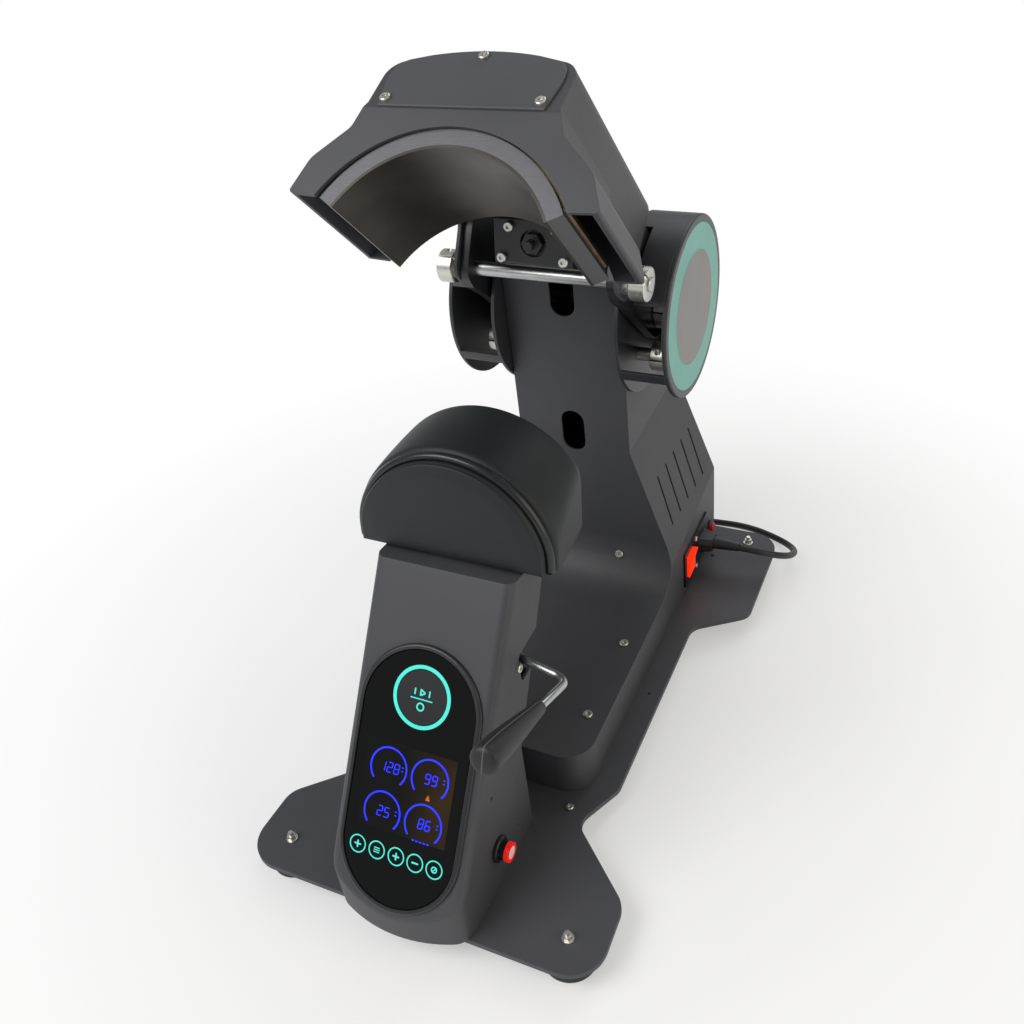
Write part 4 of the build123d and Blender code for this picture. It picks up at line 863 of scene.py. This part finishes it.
def coil_points():
    """Turns in two layers, inwards on the floor and outwards on top, ending at the plug."""
    points = []
    for i in range(int(TURNS * POINTS_PER_TURN) + 1):
        turn = i / POINTS_PER_TURN
        whole = int(turn)
        reach = TURN_RADII[whole] + (TURN_RADII[whole + 1] - TURN_RADII[whole]) * (turn - whole)
        climb = (HIGH_LAYER - LOW_LAYER) * max(0.0, turn - TURNS_ON_FLOOR)
        height = min(HIGH_LAYER, LOW_LAYER + climb)
        angle = math.radians(270) - 2 * math.pi * turn
        points.append(COIL_AT + Vector((reach * math.cos(angle), reach * math.sin(angle), height)))
    return points


def short_plug():
    """Moulded plug: a rounded boot, a body and one flat blade."""
    shape = bmesh.new()
    centre = Vector(PLUG_AT)
    for long, wide, tall, at, rounding in PLUG_BLOCKS:
        place = Matrix.Translation(centre + Vector((at, 0, 0))) @ Matrix.Diagonal((long, wide, tall, 1))
        made = bmesh.ops.create_cube(shape, size=1.0, matrix=place)
        edges = list({e for v in made["verts"] for e in v.link_edges})
        round_edges(shape, edges, rounding)
    piece = settle("short_wall_plug", shape, finish_of("wall_plug"), "stand",
                   smooth=True)
    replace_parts(piece, "wall_plug")
    return piece


def mains_cord(plug):
    """The whole lead on one smooth line, from its connector to its plug."""
    curve = bpy.data.curves.new("mains_cord_lead", "CURVE")
    curve.dimensions = "3D"
    route = [Vector(p) for p in CORD_ROUTE] + coil_points() + [Vector(p) for p in TO_PLUG]
    spline = curve.splines.new("NURBS")
    spline.points.add(len(route) - 1)
    for point, place in zip(spline.points, route):
        point.co = (*place * MM, 1.0)
    spline.order_u = 3
    spline.use_endpoint_u = True
    spline.resolution_u = 8
    curve.bevel_depth = CORD_RADIUS
    curve.bevel_resolution = 6
    curve.use_fill_caps = True
    cord = bpy.data.objects.new("mains_cord_lead", curve)
    bpy.context.scene.collection.objects.link(cord)
    curve.materials.append(moulded_plastic("soft PVC lead", "1b1b1d", 0.45, spark_mm=1.4))
    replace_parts(cord, "mains_cord", "cord_coil")
    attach(cord, "stand")


# ---- floor and light ----------------------------------------------------

WORLD_LEVEL = 0.33
# name, place, size, power and tint
LAMPS = (
    ("key lamp", (-1.0, -1.3, 1.9), 1.5, 34, (1.0, 0.99, 0.98)),
    ("side lamp", (1.7, -0.1, 1.0), 1.3, 9, (1.0, 0.93, 0.74)),
    ("back lamp", (0.2, 1.5, 1.7), 1.4, 10, (0.95, 0.97, 1.0)),
)
LAMPS_AIM_Z = 0.25
# how far out the floor begins and ends its fade to white, and the white that it has throughout
FADE_FROM, FADE_TO, FADE_LEAST = 0.30, 0.72, 0.4


def studio():
    """Pale floor that fades into a white surround, one large soft lamp and two weak ones."""
    bpy.ops.mesh.primitive_plane_add(size=14)
    floor = bpy.context.object
    floor.name = "floor"
    paper, shader, place = start("matt paper floor", "f4f4f5", roughness=0.9)
    shader.inputs["Specular IOR Level"].default_value = 0.1
    ray = add(paper, "ShaderNodeLightPath")
    away = add(paper, "ShaderNodeVectorMath", {"operation": "LENGTH"}, {0: place})
    fade = add(paper, "ShaderNodeMapRange",
               {"From Min": FADE_FROM, "From Max": FADE_TO, "To Min": FADE_LEAST},
               {"Value": away.outputs["Value"]})
    seen = add(paper, "ShaderNodeMath", {"operation": "MAXIMUM"},
               {0: ray.outputs["Is Camera Ray"], 1: ray.outputs["Is Glossy Ray"]})
    amount = add(paper, "ShaderNodeMath", {"operation": "MULTIPLY"},
                 {0: fade.outputs["Result"], 1: seen.outputs["Value"]})
    white = add(paper, "ShaderNodeEmission", {"Color": (1, 1, 1, 1), "Strength": 1.0})
    blend = add(paper, "ShaderNodeMixShader", links={
        0: amount.outputs["Value"], 1: shader.outputs["BSDF"], 2: white.outputs["Emission"]})
    output = paper.node_tree.nodes["Material Output"]
    paper.node_tree.links.new(blend.outputs["Shader"], output.inputs["Surface"])
    floor.data.materials.append(paper)

    world = bpy.data.worlds.new("studio")
    bpy.context.scene.world = world
    world.use_nodes = True
    tree = world.node_tree
    ray = tree.nodes.new("ShaderNodeLightPath")
    seen = tree.nodes.new("ShaderNodeMath")
    seen.operation = "MULTIPLY_ADD"
    seen.inputs[1].default_value = 1.0 - WORLD_LEVEL
    seen.inputs[2].default_value = WORLD_LEVEL
    tree.links.new(ray.outputs["Is Camera Ray"], seen.inputs[0])
    tree.links.new(seen.outputs["Value"], tree.nodes["Background"].inputs["Strength"])
    tree.nodes["Background"].inputs["Color"].default_value = (1, 1, 1, 1)

    for name, place, size, power, tint in LAMPS:
        lamp = bpy.data.lights.new(name, "AREA")
        lamp.size, lamp.energy, lamp.color = size, power, tint
        holder = bpy.data.objects.new(name, lamp)
        holder.location = place
        aim = Vector((0, 0, LAMPS_AIM_Z)) - Vector(place)
        holder.rotation_euler = aim.to_track_quat("-Z", "Y").to_euler()
        bpy.context.scene.collection.objects.link(holder)


bpy.context.scene.view_settings.view_transform = "Standard"
make_camera()
cover, zinc, satin, coat = dress_nodes()
mains_cord(short_plug())
touch_panel_print()
push_button_face()
drum_lines()
padded_saddle(cover)
screw_set("side_screws", "side_screw_set", zinc, coat)
screw_set("housing_screws", "deck_screw_set", zinc, coat)
slim_foot_bolts(zinc)
rubber_feet()
clamp_lever(satin)
studio()
